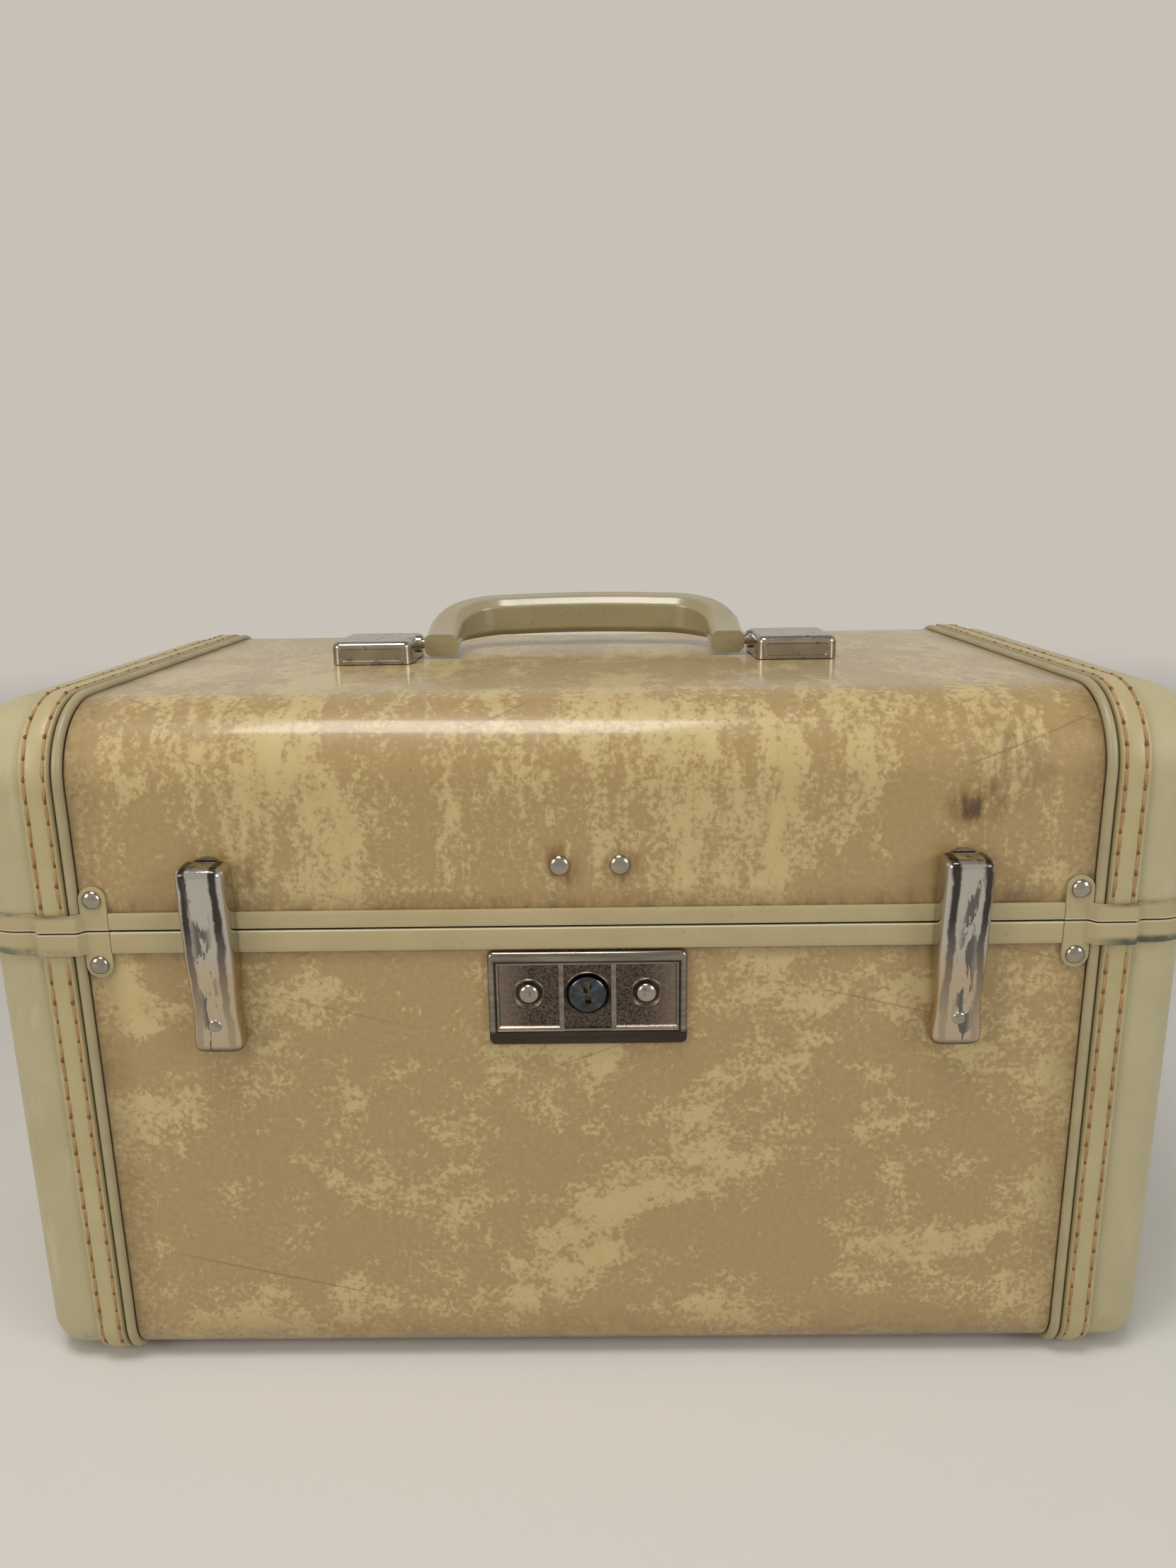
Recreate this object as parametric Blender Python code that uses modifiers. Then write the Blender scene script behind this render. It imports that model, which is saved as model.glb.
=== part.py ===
"""Hard-sided cosmetic case with a hinged lid, two draw latches, a key lock and a folding handle.

Metres, +Z up. The front faces -Y and the origin is the middle of the footprint on the floor.
The body is one rounded form, parted at the split into a base and a lid. Every skin, box, binding
and lining is a patch of that form, moved in or out by a named distance and given its thickness.
The piece that takes most skill is the draw latch: a riveted plate, a swinging link and a hollow
lever whose hooked top drops behind the lip of the strike on the lid.
"""
import math

import bmesh
import bpy
from mathutils import Matrix, Vector

MM = 0.001
FRONT = -1
BACK = 1
LEFT = -1
RIGHT = 1
SIDES = {"left": LEFT, "right": RIGHT}

# Clearances
SEAT = 0.3 * MM
RUN = 0.3 * MM
OVERRUN = 2.0 * MM
TINY = 0.01 * MM

# The form of the case, over its cloth cover
CASE_DEPTH = 199.8 * MM
CASE_LENGTH = 364.0 * MM
CASE_HEIGHT = 219.5 * MM
TOP_ROUND = 24.0 * MM
FOOT_ROUND = 12.6 * MM
END_ROUND = 12.0 * MM
LID_HEIGHT = 67.5 * MM
TOP_STEPS = 5
FOOT_STEPS = 4
END_STEPS = 4

# Walls, from outside in
COVER_THICK = 1.2 * MM
BOX_THICK = 5.0 * MM
LINING_THICK = 1.0 * MM

# Stitched bindings and piping at the ends
BINDING_PROUD = 2.0 * MM
BINDING_SETBACK = 18.8 * MM
BINDING_WIDTH = 9.3 * MM
BINDING_EDGE = 0.5 * MM
PIPING_PROUD = 1.9 * MM
PIPING_WIDTH = 3.0 * MM

# Metal rims, strips, straps and their ears
RIM_GAP = 0.7 * MM
RIM_THICK = 0.8 * MM
RIM_TONGUE_RISE = 3.6 * MM
RIM_TONGUE_DROP = 6.4 * MM
STRIP_THICK = 1.0 * MM
STRIP_EDGE = 0.35 * MM
BASE_STRIP_HEIGHT = 6.7 * MM
LID_STRIP_HEIGHT = 5.2 * MM
STRAP_THICK = 0.8 * MM
STRAP_HUMP_RAMP = 1.4 * MM
EAR_SETBACK = 4.3 * MM
EAR_WIDTH = 8.0 * MM
BASE_EAR_DROP = 10.7 * MM
LID_EAR_RISE = 10.0 * MM
EAR_STEPS = 8
RIVET_HEAD = 5.6 * MM
RIVET_RISE = 1.5 * MM
RIVET_SHANK = 2.8 * MM
RIVET_STEPS = 10

# Handle on the lid
HANDLE_PIVOT_Y = 0.5 * MM
HANDLE_PIVOT_RISE = 5.6 * MM
HANDLE_PIN = 3.6 * MM
PIN_REACH = 6.5 * MM
HANDLE_SPAN = 118.4 * MM
HANDLE_REACH = 39.5 * MM
HANDLE_BOW = 2.4 * MM
HANDLE_TILT = math.radians(10.0)
HANDLE_END = 3.2 * MM
HANDLE_CORNER = 23.0 * MM
GRIP_THICK = 12.4 * MM
GRIP_HEIGHT = 15.0 * MM
GRIP_SQUARENESS = 3
ARM_HEIGHT = 8.4 * MM
SECTION_SIDES = 12
HANDLE_CORNER_STEPS = 5
GRIP_POINTS = 6
HANDLE_BOX_LENGTH = 28.5 * MM
HANDLE_BOX_DEPTH = 32.0 * MM
HANDLE_BOX_HEIGHT = 8.0 * MM
HANDLE_BOX_EDGE = 1.8 * MM
HANDLE_BOX_WALL = 0.9 * MM
HANDLE_BOX_GAP = 2.6 * MM
HANDLE_BOX_CENTRE_Y = -1.0 * MM
PANEL_INSET = 2.6 * MM
PANEL_DEPTH = 0.4 * MM

# Draw latches
LATCH_SETBACK = 71.0 * MM
LINK_LENGTH = 25.0 * MM
LINK_PIVOT_DROP = 3.0 * MM
LATCH_PIVOT_OUT = 4.0 * MM
LATCH_PIN = 2.0 * MM
LATCH_EYE_WALL = 0.8 * MM
LINK_WIDTH = 6.4 * MM
LINK_THICK = 1.6 * MM
LATCH_EAR_THICK = 1.0 * MM
LATCH_PLATE_WIDTH = 11.0 * MM
LATCH_PLATE_DROP = 8.0 * MM
LATCH_PLATE_HEIGHT = 25.0 * MM
LATCH_PLATE_THICK = 1.0 * MM
LATCH_PLATE_CORNER = 1.8 * MM
LATCH_STEPS = 10
LEVER_WIDTH = 15.0 * MM
LEVER_WAIST = 14.0 * MM
LEVER_WALL = 0.9 * MM
LEVER_TOP_RISE = 49.8 * MM
LEVER_FOOT_DROP = 9.6 * MM
LEVER_TOP_OUT = 10.6 * MM
LEVER_FOOT_OUT = 7.0 * MM
LEVER_BACK_OUT = 2.0 * MM
LEVER_CORNER = 2.4 * MM
LEVER_CORNER_STEPS = 3
LEVER_WAIST_SHARE = 0.22
LEVER_FLARE_SHARE = 0.12
LEVER_ROW_SHARES = (0.03, LEVER_FLARE_SHARE, LEVER_WAIST_SHARE, 0.35, 0.6)
HOOK_LIP_DROP = 1.7 * MM
HOOK_LIP_OUT = 1.9 * MM
LEVER_RIVET_HEAD = 4.4 * MM
LEVER_RIVET_SINK = 0.3 * MM
STRIKE_WIDTH = 10.4 * MM
STRIKE_THICK = 1.0 * MM
STRIKE_PEEK = 1.2 * MM
STRIKE_DROP = 15.0 * MM
STRIKE_LEDGE_OUT = 6.0 * MM
STRIKE_LIP = 0.9 * MM
STRIKE_LIP_RISE = 1.8 * MM
HOOK_AIR = 0.5 * MM

# Key lock
LOCK_X = 0.6 * MM
LOCK_DROP = 21.5 * MM
LOCK_WIDTH = 60.2 * MM
LOCK_HEIGHT = 30.4 * MM
LOCK_PLATE_DROP = 1.5 * MM
LOCK_PLATE_THICK = 2.0 * MM
LOCK_EDGE = 0.5 * MM
LOCK_RIM = 2.9 * MM
LOCK_RIM_TOP = 3.9 * MM
LOCK_RIM_FOOT = 5.2 * MM
LOCK_RIB = 1.2 * MM
LOCK_RIB_X = 7.9 * MM
LOCK_RECESS = 0.9 * MM
LOCK_RIVET_X = 17.8 * MM
LOCK_RIVET_HEAD = 6.2 * MM
LOCK_DISH = 9.0 * MM
LOCK_RING = 13.8 * MM
PLUG_HEAD = 11.2 * MM
PLUG_SHAFT = 8.0 * MM
PLUG_PROUD = 0.5 * MM
KEYHOLE_WIDTH = 1.3 * MM
KEYHOLE_HEIGHT = 6.2 * MM
KEYHOLE_STEP = 1.2 * MM
KEYHOLE_DEPTH = 4.0 * MM
KEYHOLE_CORNER = 0.3 * MM
CAM_RADIUS = 3.0 * MM
CAM_PIN = 2.0 * MM
CAM_START = math.radians(45.0)
BOLT_THICK = 1.0 * MM
BOLT_HEIGHT = 7.0 * MM
FINGER_WIDTH = 2.6 * MM
FINGER_REACH = 2.4 * MM
LOCK_CASE_WIDTH = 54.0 * MM
LOCK_CASE_DROP = 11.0 * MM
LOCK_CASE_WALL = 0.9 * MM
LOCK_CASE_UNDER_RIM = 0.6 * MM

# Hasp on the lid
STUD_X = 1.8 * MM
STUD_SPACING = 17.8 * MM
STUD_RISE = 18.7 * MM
STUD_HEAD = 6.0 * MM
HASP_THICK = 1.0 * MM
HASP_WIDTH = 26.0 * MM
HASP_OVER_STUD = 6.0 * MM
HASP_FOOT_RISE = 6.0 * MM
TONGUE_WIDTH = 8.0 * MM
TONGUE_DROP = 13.6 * MM
TONGUE_NOTCH = 4.4 * MM
TONGUE_NOTCH_RISE = 1.6 * MM
TONGUE_IN = 1.2 * MM

# Hinges at the back
HINGE_SETBACK = 87.0 * MM
HINGE_WIDTH = 32.0 * MM
HINGE_STRIP_AIR = 0.4 * MM
HINGE_PIN = 2.4 * MM
HINGE_KNUCKLE = 5.0 * MM
HINGE_MIDDLE = 14.0 * MM
HINGE_PLATE = 1.1 * MM
HINGE_PLATE_HEIGHT = 20.0 * MM
HINGE_CORNER = 3.0 * MM
HINGE_STEPS = 10

# Mirror inside the lid
MIRROR_LENGTH = 210.0 * MM
MIRROR_DEPTH = 125.0 * MM
MIRROR_THICK = 2.0 * MM
MIRROR_CORNER = 8.0 * MM
FRAME_BORDER = 7.0 * MM
FRAME_LIP = 3.0 * MM
FRAME_THICK = 3.6 * MM
FRAME_FACE = 0.8 * MM

# Places worked out from the sizes above
HALF_LENGTH = CASE_LENGTH / 2
HALF_DEPTH = CASE_DEPTH / 2
BINDING_END = HALF_LENGTH - BINDING_SETBACK
BINDING_START = BINDING_END - BINDING_WIDTH
PIPING_START = BINDING_START - SEAT - PIPING_WIDTH
EAR_CENTRE = PIPING_START - EAR_SETBACK
LATCH_X = HALF_LENGTH - LATCH_SETBACK
HINGE_X = HALF_LENGTH - HINGE_SETBACK
COVER_LOW = BINDING_PROUD
COVER_TOP = COVER_LOW + CASE_HEIGHT
SPLIT = COVER_TOP - LID_HEIGHT
BASE_RIM_TOP = SPLIT - RIM_GAP / 2
LID_RIM_LOW = SPLIT + RIM_GAP / 2
BOX_IN = COVER_THICK + SEAT
LINING_IN = BOX_IN + BOX_THICK + SEAT
CAVITY_IN = LINING_IN + LINING_THICK
BASE_WALL_TOP = BASE_RIM_TOP - RIM_THICK - SEAT
LID_WALL_LOW = LID_RIM_LOW + RIM_THICK + SEAT
BASE_LINING_TOP = BASE_RIM_TOP - RIM_TONGUE_DROP - SEAT
LID_LINING_LOW = SPLIT + RIM_TONGUE_RISE + SEAT + SEAT
HINGE_OUT = SEAT + STRIP_THICK + HINGE_STRIP_AIR + HINGE_KNUCKLE / 2
LATCH_PIVOT_Z = SPLIT - LINK_PIVOT_DROP
LEVER_PIVOT_Z = LATCH_PIVOT_Z - LINK_LENGTH
LOCK_Z = SPLIT - LOCK_DROP
HANDLE_PIVOT_Z = COVER_TOP + HANDLE_PIVOT_RISE


def clear_scene():
    """Take every object out of the open scene."""
    for item in list(bpy.data.objects):
        bpy.data.objects.remove(item, do_unlink=True)


def new_collection(name):
    """A collection linked to the scene."""
    group = bpy.data.collections.new(name)
    bpy.context.scene.collection.children.link(group)
    return group


clear_scene()
PARTS = new_collection("cosmetic_case")
CUTTERS = new_collection("cutters")


def material(name, colour, roughness, metallic):
    """A plain Principled finish."""
    finish = bpy.data.materials.new(name)
    finish.use_nodes = True
    shader = finish.node_tree.nodes["Principled BSDF"]
    shader.inputs["Base Color"].default_value = (*colour, 1.0)
    shader.inputs["Roughness"].default_value = roughness
    shader.inputs["Metallic"].default_value = metallic
    finish.diffuse_color = (*colour, 1.0)
    return finish


FINISHES = {
    "coated_cloth": ((0.41, 0.29, 0.13), 0.45, 0.0),
    "leatherette": ((0.46, 0.40, 0.21), 0.5, 0.0),
    "piping": ((0.40, 0.33, 0.17), 0.5, 0.0),
    "painted_steel": ((0.44, 0.38, 0.21), 0.4, 0.0),
    "plywood": ((0.50, 0.33, 0.17), 0.8, 0.0),
    "lining_cloth": ((0.42, 0.30, 0.18), 0.9, 0.0),
    "nickel": ((0.55, 0.50, 0.44), 0.25, 1.0),
    "zinc": ((0.42, 0.42, 0.40), 0.5, 1.0),
    "moulded_plastic": ((0.38, 0.33, 0.17), 0.3, 0.0),
    "mirror_glass": ((0.85, 0.87, 0.88), 0.03, 1.0),
}


def finish_piece(piece, kind):
    """Give a piece its own copy of a finish and shade its round faces smooth."""
    colour, roughness, metallic = FINISHES[kind]
    piece.data.materials.clear()
    piece.data.materials.append(material(piece.name + "_" + kind, colour, roughness, metallic))
    piece.data.shade_smooth()
    piece.data.set_sharp_from_angle(angle=math.radians(35))
    return piece


def mesh_object(name, shape, group=PARTS):
    """Turn a bmesh into an object in a collection."""
    mesh = bpy.data.meshes.new(name)
    shape.to_mesh(mesh)
    shape.free()
    piece = bpy.data.objects.new(name, mesh)
    group.objects.link(piece)
    if group is CUTTERS:
        piece.hide_render = True
        piece.display_type = "WIRE"
    return piece


def as_cutter(piece):
    """Move a helper solid among the cutters."""
    for group in list(piece.users_collection):
        group.objects.unlink(piece)
    CUTTERS.objects.link(piece)
    piece.hide_render = True
    piece.display_type = "WIRE"
    return piece


def combine(piece, other, operation):
    """Cut or join one piece with a helper solid."""
    step = piece.modifiers.new(operation.lower() + "_" + other.name, "BOOLEAN")
    step.operation = operation
    step.solver = "EXACT"
    step.object = as_cutter(other)
    return piece


def cut(piece, other):
    return combine(piece, other, "DIFFERENCE")


def join(piece, other):
    return combine(piece, other, "UNION")


def case_form(grow):
    """The closed outer form of the whole case, moved outwards by grow."""
    size = (CASE_LENGTH + 2 * grow, CASE_DEPTH + 2 * grow, CASE_HEIGHT + 2 * grow)
    middle = COVER_LOW + CASE_HEIGHT / 2
    form = bmesh.new()
    bmesh.ops.create_cube(form, size=1.0)
    bmesh.ops.scale(form, vec=size, verts=form.verts)
    bmesh.ops.translate(form, vec=(0, 0, middle), verts=form.verts)
    for high, radius, steps in ((True, TOP_ROUND, TOP_STEPS), (False, FOOT_ROUND, FOOT_STEPS)):
        corners = [
            edge
            for edge in form.edges
            if edge.calc_length() > size[0] - TINY and (edge.verts[0].co.z > middle) == high
        ]
        bmesh.ops.bevel(
            form, geom=corners, offset=radius + grow, segments=steps, profile=0.5, affect="EDGES"
        )
    rims = [
        edge
        for edge in form.edges
        if all(abs(abs(vert.co.x) - size[0] / 2) < TINY for vert in edge.verts)
        and edge.calc_length() < size[0] / 2 + size[2]
        and edge.verts[0].co.x * edge.verts[1].co.x > 0
    ]
    bmesh.ops.bevel(
        form, geom=rims, offset=END_ROUND + grow, segments=END_STEPS, profile=0.5, affect="EDGES"
    )
    return form


def keep_side(shape, axis, place, sign):
    """Cut a surface with a plane and keep what lies on one side of it."""
    normal = Vector((0, 0, 0))
    normal[axis] = sign
    point = Vector((0, 0, 0))
    point[axis] = place
    geometry = shape.verts[:] + shape.edges[:] + shape.faces[:]
    bmesh.ops.bisect_plane(
        shape, geom=geometry, dist=TINY / 10, plane_co=point, plane_no=normal, clear_outer=True
    )


def score(shape, axis, place):
    """Add a row of edges where a plane meets a surface."""
    normal = Vector((0, 0, 0))
    normal[axis] = 1
    point = Vector((0, 0, 0))
    point[axis] = place
    geometry = shape.verts[:] + shape.edges[:] + shape.faces[:]
    bmesh.ops.bisect_plane(shape, geom=geometry, dist=TINY / 10, plane_co=point, plane_no=normal)


def patch(grow, x=None, z=None):
    """A stretch of the moved form between planes across X and Z, as an open surface."""
    shape = case_form(grow)
    for axis, limits in ((0, x), (2, z)):
        if limits is None:
            continue
        low, high = limits
        if low is not None:
            keep_side(shape, axis, low, -1)
        if high is not None:
            keep_side(shape, axis, high, 1)
    return shape


def shell(name, shape, thick, kind):
    """Give an open surface its thickness, inwards."""
    piece = mesh_object(name, shape)
    wall = piece.modifiers.new("wall", "SOLIDIFY")
    wall.thickness = thick
    wall.offset = -1.0
    wall.use_even_offset = True
    wall.use_quality_normals = True
    return finish_piece(piece, kind)


def beyond(side, near):
    """The X limits of what lies past a distance on one side."""
    return (near, None) if side == RIGHT else (None, -near)


def between(side, near, far):
    """The X limits of a slab on one side."""
    return (near, far) if side == RIGHT else (-far, -near)


def mesh_of(guide):
    """The welded mesh of a curve object, which is then removed."""
    bpy.context.view_layer.update()
    evaluated = guide.evaluated_get(bpy.context.evaluated_depsgraph_get())
    mesh = bpy.data.meshes.new_from_object(evaluated)
    shape = bmesh.new()
    shape.from_mesh(mesh)
    bpy.data.objects.remove(guide, do_unlink=True)
    bpy.data.meshes.remove(mesh)
    bmesh.ops.remove_doubles(shape, verts=shape.verts, dist=TINY / 2)
    bmesh.ops.recalc_face_normals(shape, faces=shape.faces)
    return shape


PLANES = {
    "plan": Matrix(((1, 0, 0, 0), (0, 1, 0, 0), (0, 0, 1, 0), (0, 0, 0, 1))),
    "front": Matrix(((1, 0, 0, 0), (0, 0, 1, 0), (0, 1, 0, 0), (0, 0, 0, 1))),
    "side": Matrix(((0, 0, 1, 0), (1, 0, 0, 0), (0, 1, 0, 0), (0, 0, 0, 1))),
}


def prism(name, outlines, low, high, plane, kind=None):
    """Flat outlines given thickness: plan is drawn in X,Y, front in X,Z and side in Y,Z."""
    curve = bpy.data.curves.new(name, "CURVE")
    curve.dimensions = "2D"
    curve.fill_mode = "BOTH"
    curve.extrude = (high - low) / 2
    for outline in outlines:
        spline = curve.splines.new("POLY")
        spline.points.add(len(outline) - 1)
        for point, place in zip(spline.points, outline):
            point.co = (place[0], place[1], 0, 1)
        spline.use_cyclic_u = True
    guide = bpy.data.objects.new(name + "_outline", curve)
    CUTTERS.objects.link(guide)
    shape = mesh_of(guide)
    bmesh.ops.transform(
        shape,
        matrix=PLANES[plane] @ Matrix.Translation((0, 0, (low + high) / 2)),
        verts=shape.verts,
    )
    bmesh.ops.recalc_face_normals(shape, faces=shape.faces)
    if kind is None:
        return mesh_object(name, shape, CUTTERS)
    return finish_piece(mesh_object(name, shape), kind)


def arc(centre, radius, start, end, steps):
    """Points on a circle from one angle to another, in degrees."""
    points = []
    for step in range(steps + 1):
        angle = math.radians(start + (end - start) * step / steps)
        points.append((centre[0] + radius * math.cos(angle), centre[1] + radius * math.sin(angle)))
    return points


def circle(centre, radius, steps):
    """A closed round outline."""
    return arc(centre, radius, 0, 360, steps)[:-1]


def rounded(low, high, radius, steps=4):
    """A rectangle with round corners between two opposite corners."""
    points = []
    corners = (
        ((high[0] - radius, high[1] - radius), 0),
        ((low[0] + radius, high[1] - radius), 90),
        ((low[0] + radius, low[1] + radius), 180),
        ((high[0] - radius, low[1] + radius), 270),
    )
    for centre, start in corners:
        points += arc(centre, radius, start, start + 90, steps)
    return points


def block(name, low, high, kind=None):
    """A rectangular solid between two corners, from a cube."""
    shape = bmesh.new()
    bmesh.ops.create_cube(shape, size=1.0)
    bmesh.ops.scale(shape, vec=[top - foot for foot, top in zip(low, high)], verts=shape.verts)
    bmesh.ops.translate(
        shape, vec=[(foot + top) / 2 for foot, top in zip(low, high)], verts=shape.verts
    )
    if kind is None:
        return mesh_object(name, shape, CUTTERS)
    return finish_piece(mesh_object(name, shape), kind)


def rod(name, centre, radius, low, high, axis, kind=None, steps=HINGE_STEPS):
    """A round bar along an axis, between two places on it."""
    turn = {
        0: Matrix.Rotation(math.pi / 2, 4, "Y"),
        1: Matrix.Rotation(-math.pi / 2, 4, "X"),
        2: Matrix.Identity(4),
    }[axis]
    place = Vector(centre)
    place[axis] = (low + high) / 2
    shape = bmesh.new()
    bmesh.ops.create_cone(
        shape,
        cap_ends=True,
        segments=steps,
        radius1=radius,
        radius2=radius,
        depth=high - low,
        matrix=Matrix.Translation(place) @ turn,
    )
    if kind is None:
        return mesh_object(name, shape, CUTTERS)
    return finish_piece(mesh_object(name, shape), kind)


def turned(name, profile, place, facing, kind, steps=RIVET_STEPS):
    """A profile of (radius, height) points spun about its axis, which points out of the case."""
    shape = bmesh.new()
    points = [shape.verts.new((radius, 0, height)) for radius, height in profile]
    for first, second in zip(points, points[1:]):
        shape.edges.new((first, second))
    piece = mesh_object(name, shape)
    piece.location = place
    piece.rotation_euler = (math.pi / 2 * (1 if facing == FRONT else -1), 0, 0)
    spin = piece.modifiers.new("turn", "SCREW")
    spin.axis = "Z"
    spin.steps = steps
    spin.render_steps = steps
    spin.use_merge_vertices = True
    spin.merge_threshold = TINY / 10
    spin.use_smooth_shade = True
    return finish_piece(piece, kind)


def rivet(name, x, z, out, head, rise, shank, depth, kind="nickel", facing=FRONT):
    """A domed rivet whose head sits at a distance out from the cover and whose shank runs in."""
    dome = head / 2
    profile = [
        (dome * math.sin(math.radians(angle)), rise * math.cos(math.radians(angle)))
        for angle in (0, 40, 70)
    ]
    profile += [(dome, 0), (shank / 2, 0), (shank / 2, -depth), (0, -depth)]
    return turned(name, profile, (x, facing * (HALF_DEPTH + out), z), facing, kind)


def bores(name, specs, facing=FRONT):
    """A set of round cutters along Y, each (x, z, radius, out, depth) on one face of the case."""
    shape = bmesh.new()
    turn = Matrix.Rotation(math.pi / 2, 4, "X")
    for x, z, radius, out, depth in specs:
        y = facing * (HALF_DEPTH + (out - depth) / 2)
        bmesh.ops.create_cone(
            shape,
            cap_ends=True,
            segments=RIVET_STEPS,
            radius1=radius,
            radius2=radius,
            depth=out + depth,
            matrix=Matrix.Translation((x, y, z)) @ turn,
        )
    return mesh_object(name, shape, CUTTERS)


def tube(name, points, radius, resolution, kind):
    """A round bead along points, with closed ends."""
    curve = bpy.data.curves.new(name, "CURVE")
    curve.dimensions = "3D"
    curve.bevel_depth = radius
    curve.bevel_resolution = resolution
    curve.use_fill_caps = True
    spline = curve.splines.new("POLY")
    spline.points.add(len(points) - 1)
    for point, place in zip(spline.points, points):
        point.co = (*place, 1)
    guide = bpy.data.objects.new(name + "_path", curve)
    CUTTERS.objects.link(guide)
    shape = mesh_of(guide)
    return finish_piece(mesh_object(name, shape), kind)


def section_path(x, grow, top, steps=5):
    """Points round the base or the lid at one X: down the front, across and up the back."""
    if top:
        radius = TOP_ROUND
        middle = COVER_TOP - radius
        angles = ((180, 90), (90, 0))
        end = LID_WALL_LOW
    else:
        radius = FOOT_ROUND
        middle = COVER_LOW + radius
        angles = ((180, 270), (270, 360))
        end = BASE_WALL_TOP
    inset = HALF_DEPTH - radius
    line = [(-HALF_DEPTH - grow, end)]
    line += arc((-inset, middle), radius + grow, *angles[0], steps)
    line += arc((inset, middle), radius + grow, *angles[1], steps)
    line.append((HALF_DEPTH + grow, end))
    return [(x, y, z) for y, z in line]


def body_bores(body):
    """Cutters through the cover and the box wall for everything riveted through them."""
    wall = BOX_IN + BOX_THICK + OVERRUN
    ear_z = SPLIT - BASE_EAR_DROP if body == "base" else SPLIT + LID_EAR_RISE
    shank = RIVET_SHANK / 2 + RUN
    ears = [(side * EAR_CENTRE, ear_z, shank, OVERRUN, wall) for side in SIDES.values()]
    front = list(ears)
    if body == "base":
        front.append((LOCK_X, LOCK_Z, PLUG_SHAFT / 2 + RUN, OVERRUN, wall))
        front += [(LOCK_X + side * LOCK_RIVET_X, LOCK_Z, shank, OVERRUN, wall)
                  for side in SIDES.values()]
    else:
        front += [(STUD_X + side * STUD_SPACING / 2, SPLIT + STUD_RISE, shank, OVERRUN, wall)
                  for side in SIDES.values()]
    return front, ears


def walls(body):
    """The wooden box, cloth cover and lining of the base or the lid."""
    base = body == "base"
    zone = (None, BASE_WALL_TOP) if base else (LID_WALL_LOW, None)
    inner_zone = (None, BASE_LINING_TOP) if base else (LID_LINING_LOW, None)
    middle = PIPING_START - SEAT
    box = shell(body + "_box", patch(-BOX_IN, z=zone), BOX_THICK, "plywood")
    cover = shell(body + "_cover", patch(0, x=(-middle, middle), z=zone), COVER_THICK, "coated_cloth")
    lining = shell(body + "_lining", patch(-LINING_IN, z=inner_zone), LINING_THICK, "lining_cloth")
    front, back = body_bores(body)
    for piece in (box, cover):
        cut(piece, bores(piece.name + "_front_bores", front, FRONT))
        cut(piece, bores(piece.name + "_back_bores", back, BACK))
    return lining


def end_skins(body, side_name):
    """The end cover, stitched binding and piping at one end of the base or the lid."""
    side = SIDES[side_name]
    base = body == "base"
    zone = (None, BASE_WALL_TOP) if base else (LID_WALL_LOW, None)
    tail = "_" + side_name
    shell(
        body + "_end_cover" + tail,
        patch(0, x=beyond(side, BINDING_START), z=zone),
        COVER_THICK,
        "leatherette",
    )
    binding = shell(
        body + "_binding" + tail,
        patch(BINDING_PROUD, x=between(side, BINDING_START, BINDING_END), z=zone),
        BINDING_PROUD - SEAT,
        "leatherette",
    )
    edge = binding.modifiers.new("edge", "BEVEL")
    edge.width = BINDING_EDGE
    edge.segments = 1
    edge.limit_method = "ANGLE"
    edge.angle_limit = math.radians(60)
    bead = (BINDING_START - SEAT - PIPING_START) / 2
    tube(
        body + "_piping" + tail,
        section_path(side * (PIPING_START + bead), PIPING_PROUD - bead, not base),
        bead,
        2,
        "piping",
    )


def strap(body, side_name):
    """The painted strap round one end, humped over the binding, with an ear on each face."""
    side = SIDES[side_name]
    base = body == "base"
    limits = (
        (BASE_RIM_TOP - BASE_STRIP_HEIGHT, BASE_RIM_TOP)
        if base
        else (LID_RIM_LOW, LID_RIM_LOW + LID_STRIP_HEIGHT)
    )
    out = SEAT + STRAP_THICK
    shape = patch(out, x=beyond(side, EAR_CENTRE - EAR_WIDTH / 2), z=limits)
    hump = (PIPING_START, BINDING_END + SEAT)
    for place in (hump[0] - STRAP_HUMP_RAMP, *hump, hump[1] + STRAP_HUMP_RAMP):
        score(shape, 0, side * place)
    for vert in shape.verts:
        if hump[0] - TINY < abs(vert.co.x) < hump[1] + TINY:
            vert.co.y += math.copysign(BINDING_PROUD, vert.co.y)
    piece = shell(body + "_strap_" + side_name, shape, STRAP_THICK, "painted_steel")
    ear_z = SPLIT - BASE_EAR_DROP if base else SPLIT + LID_EAR_RISE
    root_z = (limits[0] + limits[1]) / 2
    centre = side * EAR_CENTRE
    half = EAR_WIDTH / 2
    swing = (180, 360) if base else (180, 0)
    outline = [(centre - half, root_z)]
    outline += arc((centre, ear_z), half, *swing, EAR_STEPS)
    outline.append((centre + half, root_z))
    for facing, place in ((FRONT, "front"), (BACK, "back")):
        near, far = sorted((facing * (HALF_DEPTH + SEAT + TINY), facing * (HALF_DEPTH + out - TINY)))
        join(piece, prism(f"{piece.name}_{place}_ear", [outline], near, far, "front"))
    shank = RIVET_SHANK / 2
    cut(
        piece,
        bores(piece.name + "_bore", [(centre, ear_z, shank + RUN, out + OVERRUN, OVERRUN)], FRONT),
    )
    rivet(
        f"{body}_ear_rivet_{side_name}",
        centre,
        ear_z,
        out + SEAT,
        RIVET_HEAD,
        RIVET_RISE,
        RIVET_SHANK,
        out + SEAT + BOX_IN + BOX_THICK,
    )
    join(
        piece,
        rivet(
            f"{piece.name}_back_rivet",
            centre,
            ear_z,
            out - 2 * TINY,
            RIVET_HEAD,
            RIVET_RISE,
            RIVET_SHANK,
            out + BOX_IN + BOX_THICK,
            facing=BACK,
        ),
    )


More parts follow.
